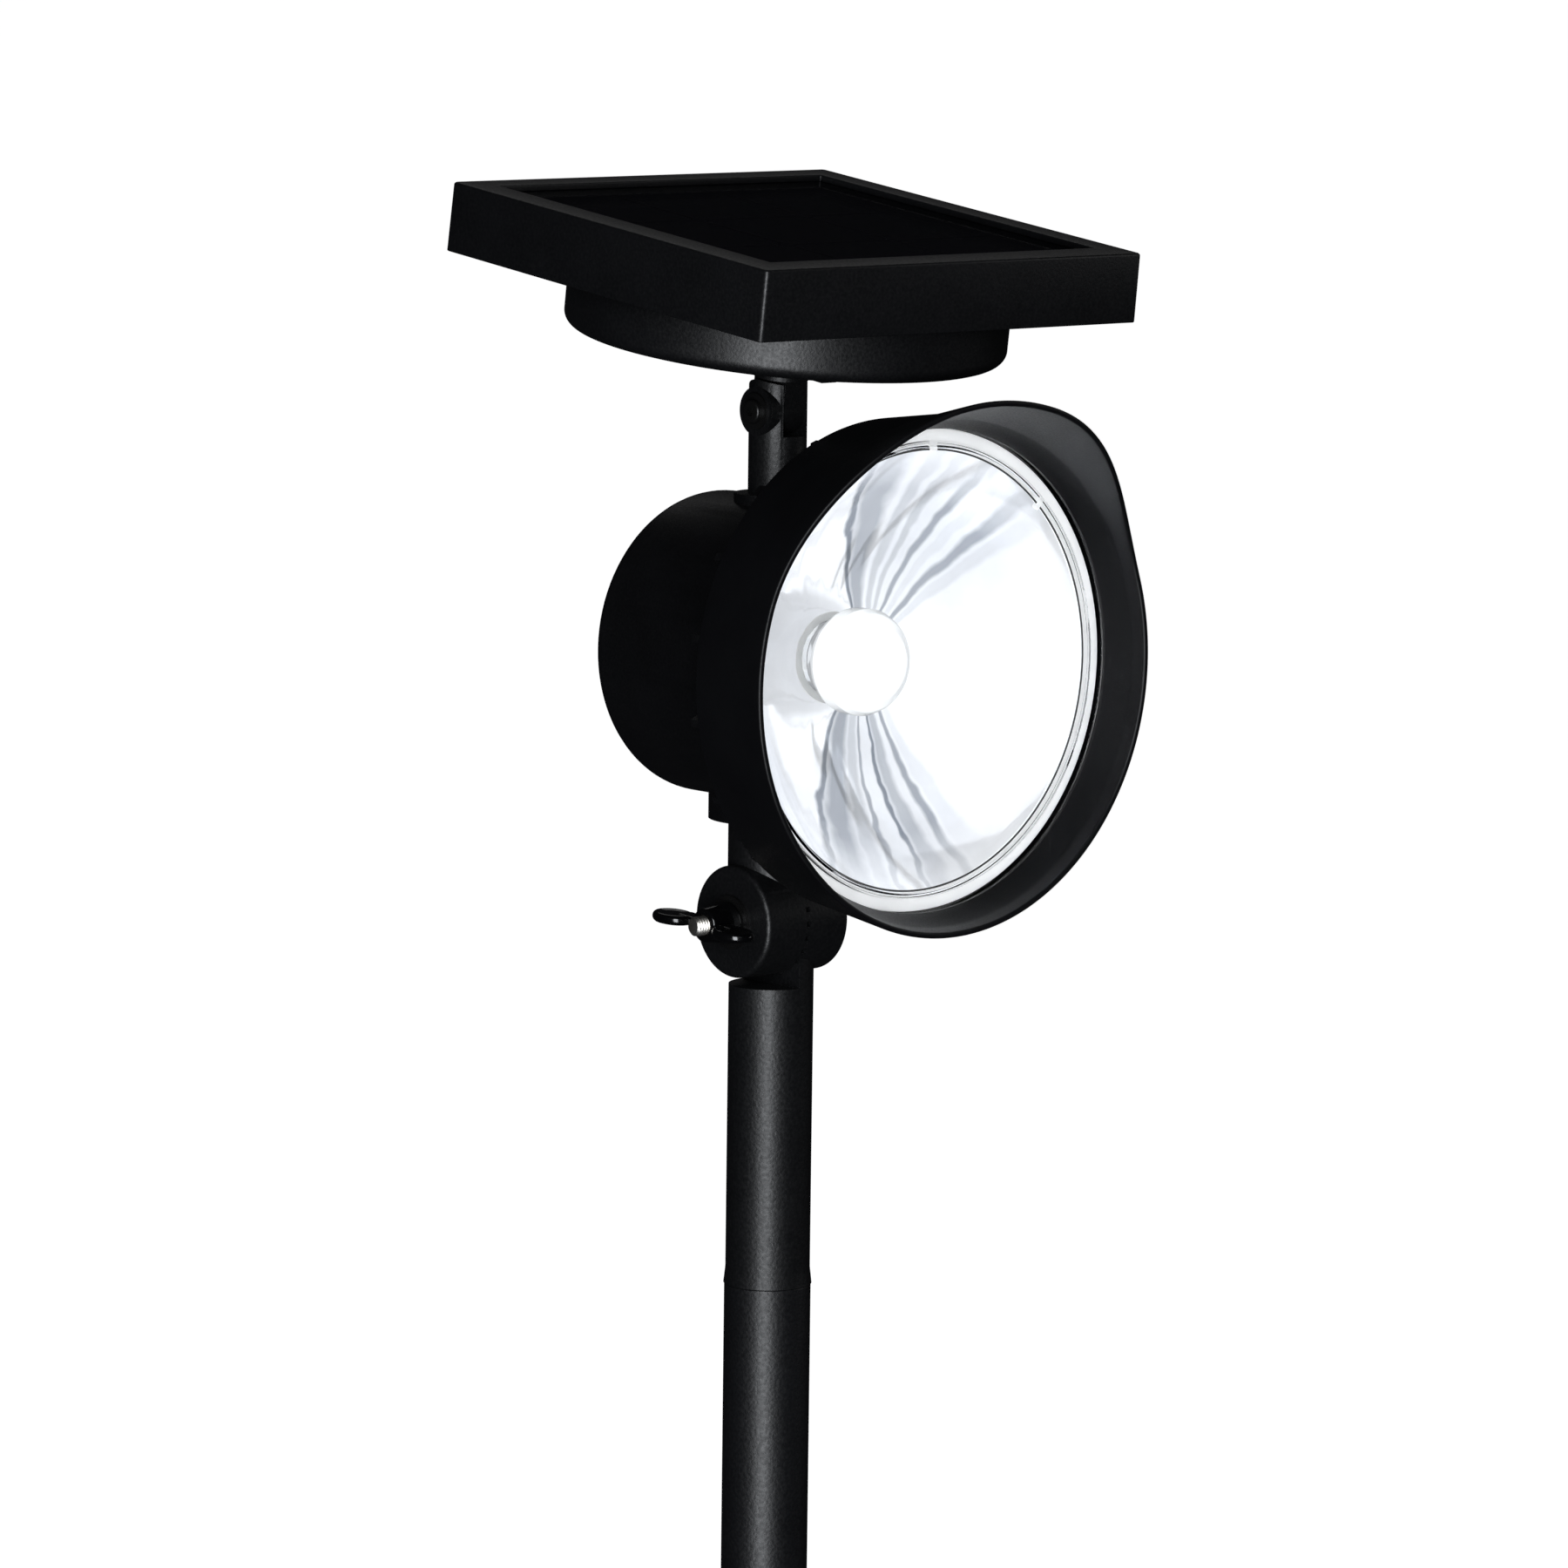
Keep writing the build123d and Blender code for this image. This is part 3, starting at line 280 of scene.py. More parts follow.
def metal_finish(name, dark, light, roughness, grain, depth, stretch=(1, 1, 1)):
    """Bare or plated metal with fine drawn lines or specks."""
    material, tree, surface = new_material(name)
    speck = object_noise(tree, grain, detail=4, stretch=stretch)
    stain = object_noise(tree, 5 * MM, detail=3)
    tree.links.new(blended_colour(tree, ranged(tree, stain, 0, 1), dark, light), surface.inputs["Base Color"])
    tree.links.new(ranged(tree, speck, roughness - 0.08, roughness + 0.1), surface.inputs["Roughness"])
    surface.inputs["Metallic"].default_value = 1.0
    add_bump(tree, surface, speck, depth)
    return material


def math_node(tree, operation, a, b=None):
    """One Math node; a and b are sockets or numbers."""
    node = tree.nodes.new("ShaderNodeMath")
    node.operation = operation
    for place, value in enumerate((a, b)):
        if value is None:
            continue
        if isinstance(value, (int, float)):
            node.inputs[place].default_value = value
        else:
            tree.links.new(value, node.inputs[place])
    return node.outputs[0]


def lamp_angle(tree):
    """Turn about the streaks' centre in radians (0 is up) and the distance from the lamp's axis."""
    place = tree.nodes.new("ShaderNodeTexCoord")
    axes = tree.nodes.new("ShaderNodeSeparateXYZ")
    tree.links.new(place.outputs["Object"], axes.inputs["Vector"])
    across = axes.outputs["X"]
    above = math_node(tree, "SUBTRACT", axes.outputs["Z"], LAMP_Z)
    turn = math_node(tree, "ARCTAN2", math_node(tree, "SUBTRACT", across, STREAK_CENTRE_X), above)
    square = math_node(tree, "ADD", math_node(tree, "MULTIPLY", across, across),
                       math_node(tree, "MULTIPLY", above, above))
    return turn, math_node(tree, "SQRT", square)


def mirror_finish():
    """Metallised bowl with cloudy haze. Its emission is a painted glow of the bulb's light, brighter towards
    +X; the grey streaks that fan out above and below the globe are painted dark reflections, darker in base
    colour and in glow."""
    material, tree, surface = new_material("reflector_mirror")
    haze = object_noise(tree, 30 * MM, detail=2)
    fine = object_noise(tree, 1.2 * MM, detail=3)
    wave = object_noise(tree, 26 * MM, detail=1)
    bright = blended_colour(tree, ranged(tree, haze, 0, 1), (0.38, 0.39, 0.41), (0.46, 0.47, 0.49))
    turn, away = lamp_angle(tree)
    wander = object_noise(tree, 11 * MM, detail=2)
    turn = math_node(tree, "ADD", turn, ranged(tree, wander, -0.035, 0.035, start=0.2, end=0.8))
    strength = None
    # Each streak is a painted dark reflection, masked by its angle about the streaks' centre
    for degrees, half_width, depth in PAINTED_REFLECTION_STREAKS:
        off = math_node(tree, "ABSOLUTE", math_node(tree, "SUBTRACT", turn, math.radians(degrees)))
        off = math_node(tree, "MINIMUM", off, math_node(tree, "SUBTRACT", 2 * math.pi, off))
        reach = math.radians(half_width)
        mark = ranged(tree, off, depth, 0.0, start=reach * 0.45, end=reach * 1.35)
        strength = mark if strength is None else math_node(tree, "MAXIMUM", strength, mark)
    # The painted streaks fade out towards the bowl's rim
    rim_fade = ranged(tree, away, 1.0, 0.40, start=50 * MM, end=62 * MM)
    strength = math_node(tree, "MULTIPLY", strength, rim_fade)
    # Painted reflection: the streaks lay a dark colour over the metal's own colour
    tone = blended_over(tree, bright, strength, PAINTED_STREAK_TONE)
    tree.links.new(tone, surface.inputs["Base Color"])
    tree.links.new(ranged(tree, fine, 0.05, 0.11), surface.inputs["Roughness"])
    surface.inputs["Metallic"].default_value = 1.0
    # Painted glow: the bowl's emission colour, cloudy, with the streaks' painted glow laid over it
    cloudy = blended_colour(tree, ranged(tree, haze, 0, 1), BOWL_PAINTED_GLOW, (0.66, 0.67, 0.69))
    tree.links.new(blended_over(tree, cloudy, strength, PAINTED_STREAK_GLOW), surface.inputs["Emission Color"])
    across = tree.nodes.new("ShaderNodeSeparateXYZ")
    place = tree.nodes.new("ShaderNodeTexCoord")
    tree.links.new(place.outputs["Object"], across.inputs["Vector"])
    # Painted glow is stronger towards +X, where the bulb lights the bowl more
    side = ranged(tree, across.outputs["X"], BOWL_PAINTED_GLOW_LEFT, BOWL_PAINTED_GLOW_RIGHT, start=-45 * MM, end=25 * MM)
    tree.links.new(side, surface.inputs["Emission Strength"])
    add_bump(tree, surface, wave, 0.5 * MM, 0.12)
    return material


def ring_finish():
    """The reflector's outer ring: finely textured white moulding, lit through by the lamp; that light is a
    painted glow as emission.
    """
    material, tree, surface = new_material("reflector_ring")
    fine = object_noise(tree, 0.5 * MM, detail=4)
    stain = object_noise(tree, 9 * MM, detail=3)
    tone = blended_colour(tree, ranged(tree, stain, 0, 1), (0.80, 0.80, 0.81), (0.92, 0.92, 0.92))
    tree.links.new(tone, surface.inputs["Base Color"])
    # Painted glow of the lamp's light through the ring, as emission colour and strength
    glow = blended_colour(tree, ranged(tree, fine, 0, 1), (0.66, 0.67, 0.68), (0.90, 0.90, 0.90))
    tree.links.new(glow, surface.inputs["Emission Color"])
    surface.inputs["Emission Strength"].default_value = RING_PAINTED_GLOW
    tree.links.new(ranged(tree, fine, 0.35, 0.6), surface.inputs["Roughness"])
    add_bump(tree, surface, fine, 60e-6, 0.6)
    return material


def clear_finish(name, tint, roughness, ior, wave_depth):
    """Clear moulded plastic or glass with a slight waviness."""
    material, tree, surface = new_material(name)
    wave = object_noise(tree, 12 * MM, detail=2)
    haze = object_noise(tree, 3 * MM, detail=3)
    lighter = tuple(min(1.0, c + 0.02) for c in tint)
    tone = blended_colour(tree, ranged(tree, haze, 0, 1), tint, lighter)
    tree.links.new(tone, surface.inputs["Base Color"])
    tree.links.new(ranged(tree, haze, roughness, roughness * 1.6), surface.inputs["Roughness"])
    surface.inputs["Transmission Weight"].default_value = 1.0
    surface.inputs["IOR"].default_value = ior
    add_bump(tree, surface, wave, wave_depth, 0.3)
    return material


def globe_finish():
    """Clear globe with a painted glow as emission where the LED lights its front, less on the stem; painted
    shade greys it towards its outline and darkens the stem's tint.
    """
    material, tree, surface = new_material("globe_clear")
    cloud = object_noise(tree, 5 * MM, detail=3)
    place = tree.nodes.new("ShaderNodeTexCoord")
    axes = tree.nodes.new("ShaderNodeSeparateXYZ")
    tree.links.new(place.outputs["Object"], axes.inputs["Vector"])
    forward = math_node(tree, "MULTIPLY", axes.outputs["Y"], -1.0)
    front = ranged(tree, forward, 0.0, 1.0, start=GLOBE_STEM_END, end=GLOBE_FRONT_START)
    clear = blended_colour(tree, ranged(tree, cloud, 0, 1), (0.30, 0.31, 0.32), (0.36, 0.37, 0.38))
    # Painted shade: a darker tint on the stem, behind the lit front
    stem_shade = tree.nodes.new("ShaderNodeMix")
    stem_shade.data_type = "RGBA"
    stem_shade.inputs["A"].default_value = (0.13, 0.14, 0.16, 1)
    tree.links.new(clear, stem_shade.inputs["B"])
    tree.links.new(front, stem_shade.inputs["Factor"])
    edge = tree.nodes.new("ShaderNodeLayerWeight")
    edge.inputs["Blend"].default_value = 0.5
    # Painted shade: the glass greys towards its outline, by how the surface faces the view
    outline = ranged(tree, edge.outputs["Facing"], 0.0, 0.95, start=0.60, end=0.86)
    tone = blended_over(tree, stem_shade.outputs["Result"], outline, (0.04, 0.045, 0.05))
    tree.links.new(tone, surface.inputs["Base Color"])
    tree.links.new(ranged(tree, cloud, 0.05, 0.12), surface.inputs["Roughness"])
    surface.inputs["Transmission Weight"].default_value = GLOBE_CLEAR
    surface.inputs["IOR"].default_value = 1.45
    # Painted glow as emission: strongest on the front, weaker at the outline and on the stem
    full = ranged(tree, edge.outputs["Facing"], GLOBE_PAINTED_GLOW, GLOBE_EDGE_PAINTED_GLOW, start=0.45, end=0.88)
    lit = ranged(tree, front, GLOBE_STEM_SHARE, 1.0)
    lit_tone = blended_colour(tree, ranged(tree, cloud, 0, 1), (0.93, 0.95, 0.97), (0.98, 0.99, 1.0))
    tree.links.new(lit_tone, surface.inputs["Emission Color"])
    tree.links.new(math_node(tree, "MULTIPLY", full, lit), surface.inputs["Emission Strength"])
    add_bump(tree, surface, cloud, 0.05 * MM, 0.2)
    return material


def cover_finish():
    """Tempered cover over the cells: a dark clear sheet that is mostly a reflection from low down."""
    material, tree, surface = new_material("solar_cover")
    haze = object_noise(tree, 9 * MM, detail=3)
    tone = blended_colour(tree, ranged(tree, haze, 0, 1), (0.0010, 0.0012, 0.0028), (0.0016, 0.0019, 0.0042))
    tree.links.new(tone, surface.inputs["Base Color"])
    tree.links.new(ranged(tree, haze, 0.04, 0.08), surface.inputs["Roughness"])
    surface.inputs["IOR"].default_value = 1.5
    surface.inputs["Alpha"].default_value = 0.55
    add_bump(tree, surface, haze, 0.02 * MM, 0.2)
    return material


def light_finish():
    """Lit white LED: warm phosphor under a clear dome."""
    material, tree, surface = new_material("led_light")
    cloud = object_noise(tree, 1.5 * MM, detail=2)
    tone = blended_colour(tree, ranged(tree, cloud, 0, 1), (1.0, 0.98, 0.93), (0.95, 0.98, 1.0))
    tree.links.new(tone, surface.inputs["Base Color"])
    tree.links.new(tone, surface.inputs["Emission Color"])
    surface.inputs["Emission Strength"].default_value = LED_STRENGTH
    surface.inputs["Roughness"].default_value = 0.3
    return material


def cell_finish():
    """Dark silicon cells: a grid of wafers, thin collector fingers and two bus bars each."""
    material, tree, surface = new_material("solar_silicon")
    place = tree.nodes.new("ShaderNodeTexCoord")
    axes = tree.nodes.new("ShaderNodeSeparateXYZ")
    tree.links.new(place.outputs["Object"], axes.inputs["Vector"])

    def stripes(axis, pitch, width, shift=0.0):
        """1 on lines of the given width that repeat at the pitch."""
        moved = tree.nodes.new("ShaderNodeMath")
        moved.operation = "ADD"
        moved.inputs[1].default_value = shift + pitch / 2
        wrapped = tree.nodes.new("ShaderNodeMath")
        wrapped.operation = "PINGPONG"
        wrapped.inputs[1].default_value = pitch / 2
        test = tree.nodes.new("ShaderNodeMath")
        test.operation = "LESS_THAN"
        test.inputs[1].default_value = width / 2
        tree.links.new(axes.outputs[axis], moved.inputs[0])
        tree.links.new(moved.outputs[0], wrapped.inputs[0])
        tree.links.new(wrapped.outputs[0], test.inputs[0])
        return test.outputs[0]

    def either(a, b):
        node = tree.nodes.new("ShaderNodeMath")
        node.operation = "MAXIMUM"
        tree.links.new(a, node.inputs[0])
        tree.links.new(b, node.inputs[1])
        return node.outputs[0]

    fingers = stripes("Y", FINGER_PITCH, FINGER_WIDTH)
    bars = stripes("X", CELL_PITCH / 2, BUS_WIDTH, shift=CELL_PITCH / 4)
    gaps = either(stripes("X", CELL_PITCH, CELL_GAP), stripes("Y", CELL_PITCH, CELL_GAP))
    crystal = object_noise(tree, 7 * MM, detail=1)
    grain = ranged(tree, crystal, 0, 1)
    silicon = blended_colour(tree, grain, (0.0012, 0.0018, 0.005), (0.002, 0.003, 0.010))

    tone = blended_over(tree, silicon, fingers, (0.010, 0.011, 0.014))
    tone = blended_over(tree, tone, bars, (0.020, 0.021, 0.024))
    tone = blended_over(tree, tone, gaps, (0.001, 0.001, 0.001))
    tree.links.new(tone, surface.inputs["Base Color"])
    surface.inputs["Roughness"].default_value = 0.35
    surface.inputs["Specular IOR Level"].default_value = 0.25
    return material


def board_finish(name, dark, light, roughness):
    """Coated circuit board or moulded carrier: slight mottling and a fine surface texture."""
    material, tree, surface = new_material(name)
    speck = object_noise(tree, 0.6 * MM, detail=3)
    cloud = object_noise(tree, 8 * MM, detail=2)
    tree.links.new(blended_colour(tree, ranged(tree, cloud, 0, 1), dark, light), surface.inputs["Base Color"])
    tree.links.new(ranged(tree, speck, roughness - 0.05, roughness + 0.1), surface.inputs["Roughness"])
    add_bump(tree, surface, speck, 15e-6)
    return material


# ================================================================ materials
LED_STRENGTH = 3.0
# Painted glow of the reflector's ring as emission
RING_PAINTED_GLOW = 0.40
# Painted glow of the globe as emission, at its face and at its outline, and the share of it on the stem
GLOBE_PAINTED_GLOW = 0.95
GLOBE_EDGE_PAINTED_GLOW = 0.16
GLOBE_STEM_SHARE = 0.30
GLOBE_CLEAR = 0.35
# Distances in front of the pole's axis where the globe's stem ends and its lit front starts
GLOBE_STEM_END = 33 * MM
GLOBE_FRONT_START = 35 * MM
# The painted reflection streaks fan out from a point beside the globe
STREAK_CENTRE_X = 12 * MM
# Base colour and emission colour of the painted reflection streaks
PAINTED_STREAK_TONE = (0.05, 0.06, 0.08)
PAINTED_STREAK_GLOW = (0.08, 0.10, 0.13)
# Painted glow of the bowl as emission: its colour, and its strength on the -X and +X sides
BOWL_PAINTED_GLOW = (0.56, 0.57, 0.60)
BOWL_PAINTED_GLOW_LEFT = 0.55
BOWL_PAINTED_GLOW_RIGHT = 1.25
# Painted reflection streaks: angle from that point and half width, both in degrees, and how dark the streak
# is
PAINTED_REFLECTION_STREAKS = (
    (18.0, 42.0, 0.26),
    (-172.0, 28.0, 0.22),
    (-23.0, 1.8, 0.90),
    (-16.0, 7.0, 0.68),
    (-3.0, 4.0, 0.48),
    (5.0, 3.0, 0.50),
    (14.5, 2.6, 0.75),
    (23.0, 5.0, 0.35),
    (33.0, 3.8, 0.75),
    (42.0, 6.0, 0.35),
    (-143.5, 1.8, 0.85),
    (-151.0, 7.0, 0.72),
    (-161.0, 4.5, 0.45),
    (-166.5, 1.2, 0.70),
    (-175.0, 1.3, 0.90),
    (180.5, 4.0, 0.60),
    (171.5, 2.2, 0.75),
    (165.0, 5.0, 0.25),
)
CELL_PITCH = 41 * MM
CELL_GAP = 1.0 * MM
FINGER_PITCH = 2.0 * MM
FINGER_WIDTH = 0.14 * MM
BUS_WIDTH = 1.2 * MM

MATERIALS = {
    "pole_paint": black_finish(
        "pole_paint", (0.0030, 0.0031, 0.0038), (0.0045, 0.0047, 0.0056), 0.43, 1.0 * MM, 110e-6
    ),
    "post_plastic": black_finish(
        "post_plastic", (0.0028, 0.0029, 0.0034), (0.0042, 0.0044, 0.0050), 0.43, 1.0 * MM, 110e-6
    ),
    "housing_plastic": black_finish(
        "housing_plastic", (0.0020, 0.0020, 0.0024), (0.0032, 0.0032, 0.0038), 0.41, 0.6 * MM, 30e-6,
        gloss=0.4,
    ),
    "hood_plastic": black_finish(
        "hood_plastic", (0.0030, 0.0030, 0.0036), (0.0042, 0.0043, 0.0050), 0.40, 0.5 * MM, 25e-6, gloss=0.28
    ),
    "panel_plastic": black_finish(
        "panel_plastic", (0.0028, 0.0029, 0.0034), (0.0040, 0.0041, 0.0048), 0.40, 0.9 * MM, 70e-6
    ),
    "stake_plastic": black_finish(
        "stake_plastic", (0.0035, 0.0035, 0.0038), (0.0055, 0.0055, 0.0058), 0.5, 0.7 * MM, 35e-6
    ),
    "wing_plastic": black_finish(
        "wing_plastic", (0.0015, 0.0015, 0.0018), (0.0025, 0.0025, 0.0028), 0.16, 1.5 * MM, 6e-6, coat=0.5
    ),
    "black_screw": black_finish(
        "black_screw", (0.0040, 0.0040, 0.0042), (0.0070, 0.0068, 0.0066), 0.28, 0.3 * MM, 12e-6
    ),
    "gasket_rubber": black_finish(
        "gasket_rubber", (0.0030, 0.0030, 0.0030), (0.0050, 0.0050, 0.0050), 0.7, 0.5 * MM, 20e-6, gloss=0.3
    ),
    "zinc": metal_finish("zinc", (0.42, 0.39, 0.34), (0.66, 0.64, 0.60), 0.38, 0.3 * MM, 25e-6),
    "board_metal": metal_finish(
        "board_metal", (0.62, 0.63, 0.65), (0.78, 0.79, 0.81), 0.35, 0.3 * MM, 8e-6, stretch=(1, 1, 12)
    ),
    "cell_wrap": metal_finish("cell_wrap", (0.10, 0.22, 0.13), (0.14, 0.28, 0.17), 0.3, 2 * MM, 8e-6),
    "reflector_mirror": mirror_finish(),
    "reflector_ring": ring_finish(),
    "lens_clear": clear_finish("lens_clear", (0.97, 0.98, 0.98), 0.01, 1.49, 0.1 * MM),
    "globe_clear": globe_finish(),
    "led_light": light_finish(),
    "board_green": board_finish("board_green", (0.012, 0.09, 0.04), (0.02, 0.12, 0.055), 0.35),
    "carrier_white": board_finish("carrier_white", (0.72, 0.72, 0.70), (0.82, 0.82, 0.80), 0.45),
    "backing_sheet": board_finish("backing_sheet", (0.02, 0.02, 0.022), (0.03, 0.03, 0.032), 0.55),
    "solar_silicon": cell_finish(),
    "solar_cover": cover_finish(),
}

for entry in frame["record"]["subparts"]:
    node = frame["nodes"][entry["node"]]
    node.data.materials.clear()
    node.data.materials.append(MATERIALS[entry["material_slot"]])

BODY_OF = {
    node: body for body, members in frame["record"]["behaviour"]["bodies"].items() for node in members
}
SLOT_OF = {entry["node"]: entry["material_slot"] for entry in frame["record"]["subparts"]}


def softened(node, width, segments=2):
    """A copy of a CAD node with its sharp moulded edges rounded."""
    mesh = frame["nodes"][node].data.copy()
    working = bmesh.new()
    working.from_mesh(mesh)
    bmesh.ops.remove_doubles(working, verts=working.verts, dist=1e-6)
    bmesh.ops.dissolve_limit(
        working, angle_limit=math.radians(0.4), verts=working.verts, edges=working.edges
    )
    working.to_mesh(mesh)
    working.free()
    piece = bpy.data.objects.new(node + "_moulded", mesh)
    bpy.context.scene.collection.objects.link(piece)
    bevel = piece.modifiers.new("edge_round", "BEVEL")
    bevel.width = width
    bevel.segments = segments
    bevel.limit_method = "ANGLE"
    bevel.angle_limit = math.radians(40)
    weighted = piece.modifiers.new("flat_faces", "WEIGHTED_NORMAL")
    weighted.keep_sharp = True
    return settle(piece, BODY_OF[node], SLOT_OF[node], (node,))


# ================================================================ hood
HOOD_WALL = 1.8
HOOD_BACK_R = 72.3
HOOD_BEND = 76.0
HOOD_BEND_R = 75.84
HOOD_RIM = 80.4
HOOD_RIM_R = 76.4
VISOR_LENGTH = HOOD_TIP - HOOD_RIM
VISOR_SLOPE = math.tan(math.radians(15.6))
VISOR_FULL = math.radians(15)
VISOR_END = math.radians(72)
LIP_BACK = 66.5
LIP_FRONT = 67.7
LIP_R = 70.5
HOOD_TURNS = 256


def visor_reach(angle):
    """How far the visor stands past the plain rim: full at the top, nothing at the sides."""
    away = abs(math.remainder(angle, 2 * math.pi))
    share = min(1.0, max(0.0, (away - VISOR_FULL) / (VISOR_END - VISOR_FULL)))
    return VISOR_LENGTH * (1 + math.cos(math.pi * share)) / 2


def hood_section(angle):
    reach = visor_reach(angle)
    tip = HOOD_RIM + reach
    tip_r = HOOD_RIM_R + reach * VISOR_SLOPE
    return rounded_outline(
        [
            (HOOD_BACK, HOOD_BACK_R, 0.7),
            (HOOD_BEND, HOOD_BEND_R, 12.0),
            (tip, tip_r, 0.85),
            (tip, tip_r - HOOD_WALL, 0.85),
            (HOOD_BEND, HOOD_BEND_R - HOOD_WALL - 0.4, 12.0),
            (LIP_FRONT, LIP_R, 0.25),
            (LIP_BACK, LIP_R, 0.25),
            (LIP_BACK, 72.35, 0.1),
            (HOOD_BACK, HOOD_BACK_R - HOOD_WALL, 0.4),
        ],
        steps=6,
    )


lamp_ring("hood_shell", hood_section, HOOD_TURNS, "lamp_head", "hood_plastic", ("hood",))

# ================================================================ reflector
THROAT_R = 13.0
THROAT_FRONT = 28.0
THROAT_BACK = 25.5
MOUTH_R = 65.0
MOUTH_FRONT = 62.4
BOWL_RINGS = 44
BOWL_TURNS = 384
BOWL_WALL = 1.2
FLANGE_R = 70.2
FLUTES = ((17, 0.4, 0.07), (29, 1.7, 0.04), (41, 0.9, 0.02))


bowl_line = []
for ring in range(BOWL_RINGS + 1):
    radius = THROAT_R + (MOUTH_R - 0.6 - THROAT_R) * ring / BOWL_RINGS
    drop = (radius**2 - THROAT_R**2) / (MOUTH_R**2 - THROAT_R**2)
    bowl_line.append((THROAT_FRONT + drop * (MOUTH_FRONT - THROAT_FRONT), radius))


def flute_depth(angle, radius):
    """Slight radial fluting of the bowl in mm, strongest above and below the bulb, none at the rim."""
    upright = math.cos(angle) ** 4
    share = (radius - THROAT_R) / (MOUTH_R - THROAT_R)
    swell = math.sin(math.pi * min(1.0, max(0.0, share)))
    return upright * swell * sum(size * math.sin(count * angle + start) for count, start, size in FLUTES)


def bowl_section(angle):
    inside = [(THROAT_BACK, THROAT_R)]
    inside += [(f + flute_depth(angle, r), r) for f, r in bowl_line]
    outside = [(f - BOWL_WALL * 0.6, r + BOWL_WALL * 0.8) for f, r in reversed(bowl_line)]
    return inside + outside + [(THROAT_BACK, THROAT_R + BOWL_WALL)]


lamp_ring("reflector_bowl", bowl_section, BOWL_TURNS, "lamp_head", "reflector_mirror", ("reflector",))


def flange_section(angle):
    return rounded_outline(
        [
            (MOUTH_FRONT - 0.9, MOUTH_R - 0.5, 0.1),
            (MOUTH_FRONT + 0.9, MOUTH_R - 0.2, 0.5),
            (MOUTH_FRONT + 0.5, MOUTH_R + 1.2, 0.3),
            (LENS_BACK - 0.15, MOUTH_R + 1.9, 0.3),
            (LENS_BACK - 0.15, FLANGE_R, 0.2),
            (MOUTH_FRONT, FLANGE_R, 0.2),
        ],
        steps=3,
    )


flange = lamp_ring("reflector_flange", flange_section, BOWL_TURNS, "lamp_head", "reflector_mirror")
flange.data.materials.clear()
flange.data.materials.append(MATERIALS["reflector_ring"])

# Two dark beads between the ring and the bowl, painted shade of the groove in the lens put there as dark
# rings, and the small tab and clip that bridge them
GROOVE_SHADE_BEADS = {"lens_groove_shade_inner": (64.2, 0.30), "lens_groove_shade_outer": (66.4, 0.24)}
BEAD_FRONT = LENS_BACK - 0.40
BEAD_STEPS = 10
BEAD_TURNS = 192
for bead_name, (bead_r, bead_half) in GROOVE_SHADE_BEADS.items():
    bead_outline = []
    for step in range(BEAD_STEPS):
        turn = 2 * math.pi * step / BEAD_STEPS
        bead_outline.append((BEAD_FRONT + bead_half * math.cos(turn), bead_r + bead_half * math.sin(turn)))
    # Each bead is a dark ring of painted shade, in the black rubber finish
    lamp_ring(bead_name, lambda angle, line=bead_outline: line, BEAD_TURNS, "lamp_head", "gasket_rubber")


def ring_block(name, angle, inner_r, outer_r, half_width, back, front):
    """Small block on the ring, its corners rounded, at an angle about the lamp's axis."""
    outline = rounded_outline(
        [
            (-half_width, inner_r, 0.4),
            (half_width, inner_r, 0.4),
            (half_width, outer_r, 0.4),
            (-half_width, outer_r, 0.4),
        ],
        steps=3,
    )
    points = []
    for forward in (back, front):
        for side, radius in outline:
            points.append(lamp_point(forward, radius, angle + side / radius))
    count = len(outline)
    faces = grid_faces(2, count, False, True)
    faces.append(tuple(range(count)))
    faces.append(tuple(reversed(range(count, 2 * count))))
    piece = mesh_piece(name, points, faces, "lamp_head", "reflector_mirror")
    piece.data.materials.clear()
    piece.data.materials.append(MATERIALS["reflector_ring"])


ring_block("ring_tab", math.radians(2.8), 63.9, 67.2, 1.5, MOUTH_FRONT + 0.6, LENS_BACK - 0.05)
ring_block("ring_clip", math.radians(44.6), 62.8, 66.8, 0.9, MOUTH_FRONT + 0.2, LENS_BACK - 0.05)

# ================================================================ lens
LENS_CROWN = 0.5
lens_outline = rounded_outline(
    [
        (LENS_BACK, 0, 0),
        (LENS_BACK, LENS_R, 0.4),
        (LENS_FRONT - 0.9, LENS_R, 0.4),
        (LENS_FRONT - 0.6, 66.6, 0.3),
        (LENS_FRONT - 1.2, 66.2, 0.2),
        (LENS_FRONT - 1.2, 65.6, 0.2),
        (LENS_FRONT - LENS_CROWN, 65.0, 0.3),
        (LENS_FRONT - LENS_CROWN * 0.36, 52.0, 20),
        (LENS_FRONT - LENS_CROWN * 0.06, 26.0, 20),
        (LENS_FRONT, 0, 0),
    ],
    steps=4,
    closed=False,
)
lamp_solid("lens_disc", lens_outline, BOWL_TURNS, "lamp_head", "lens_clear", ("lens",))

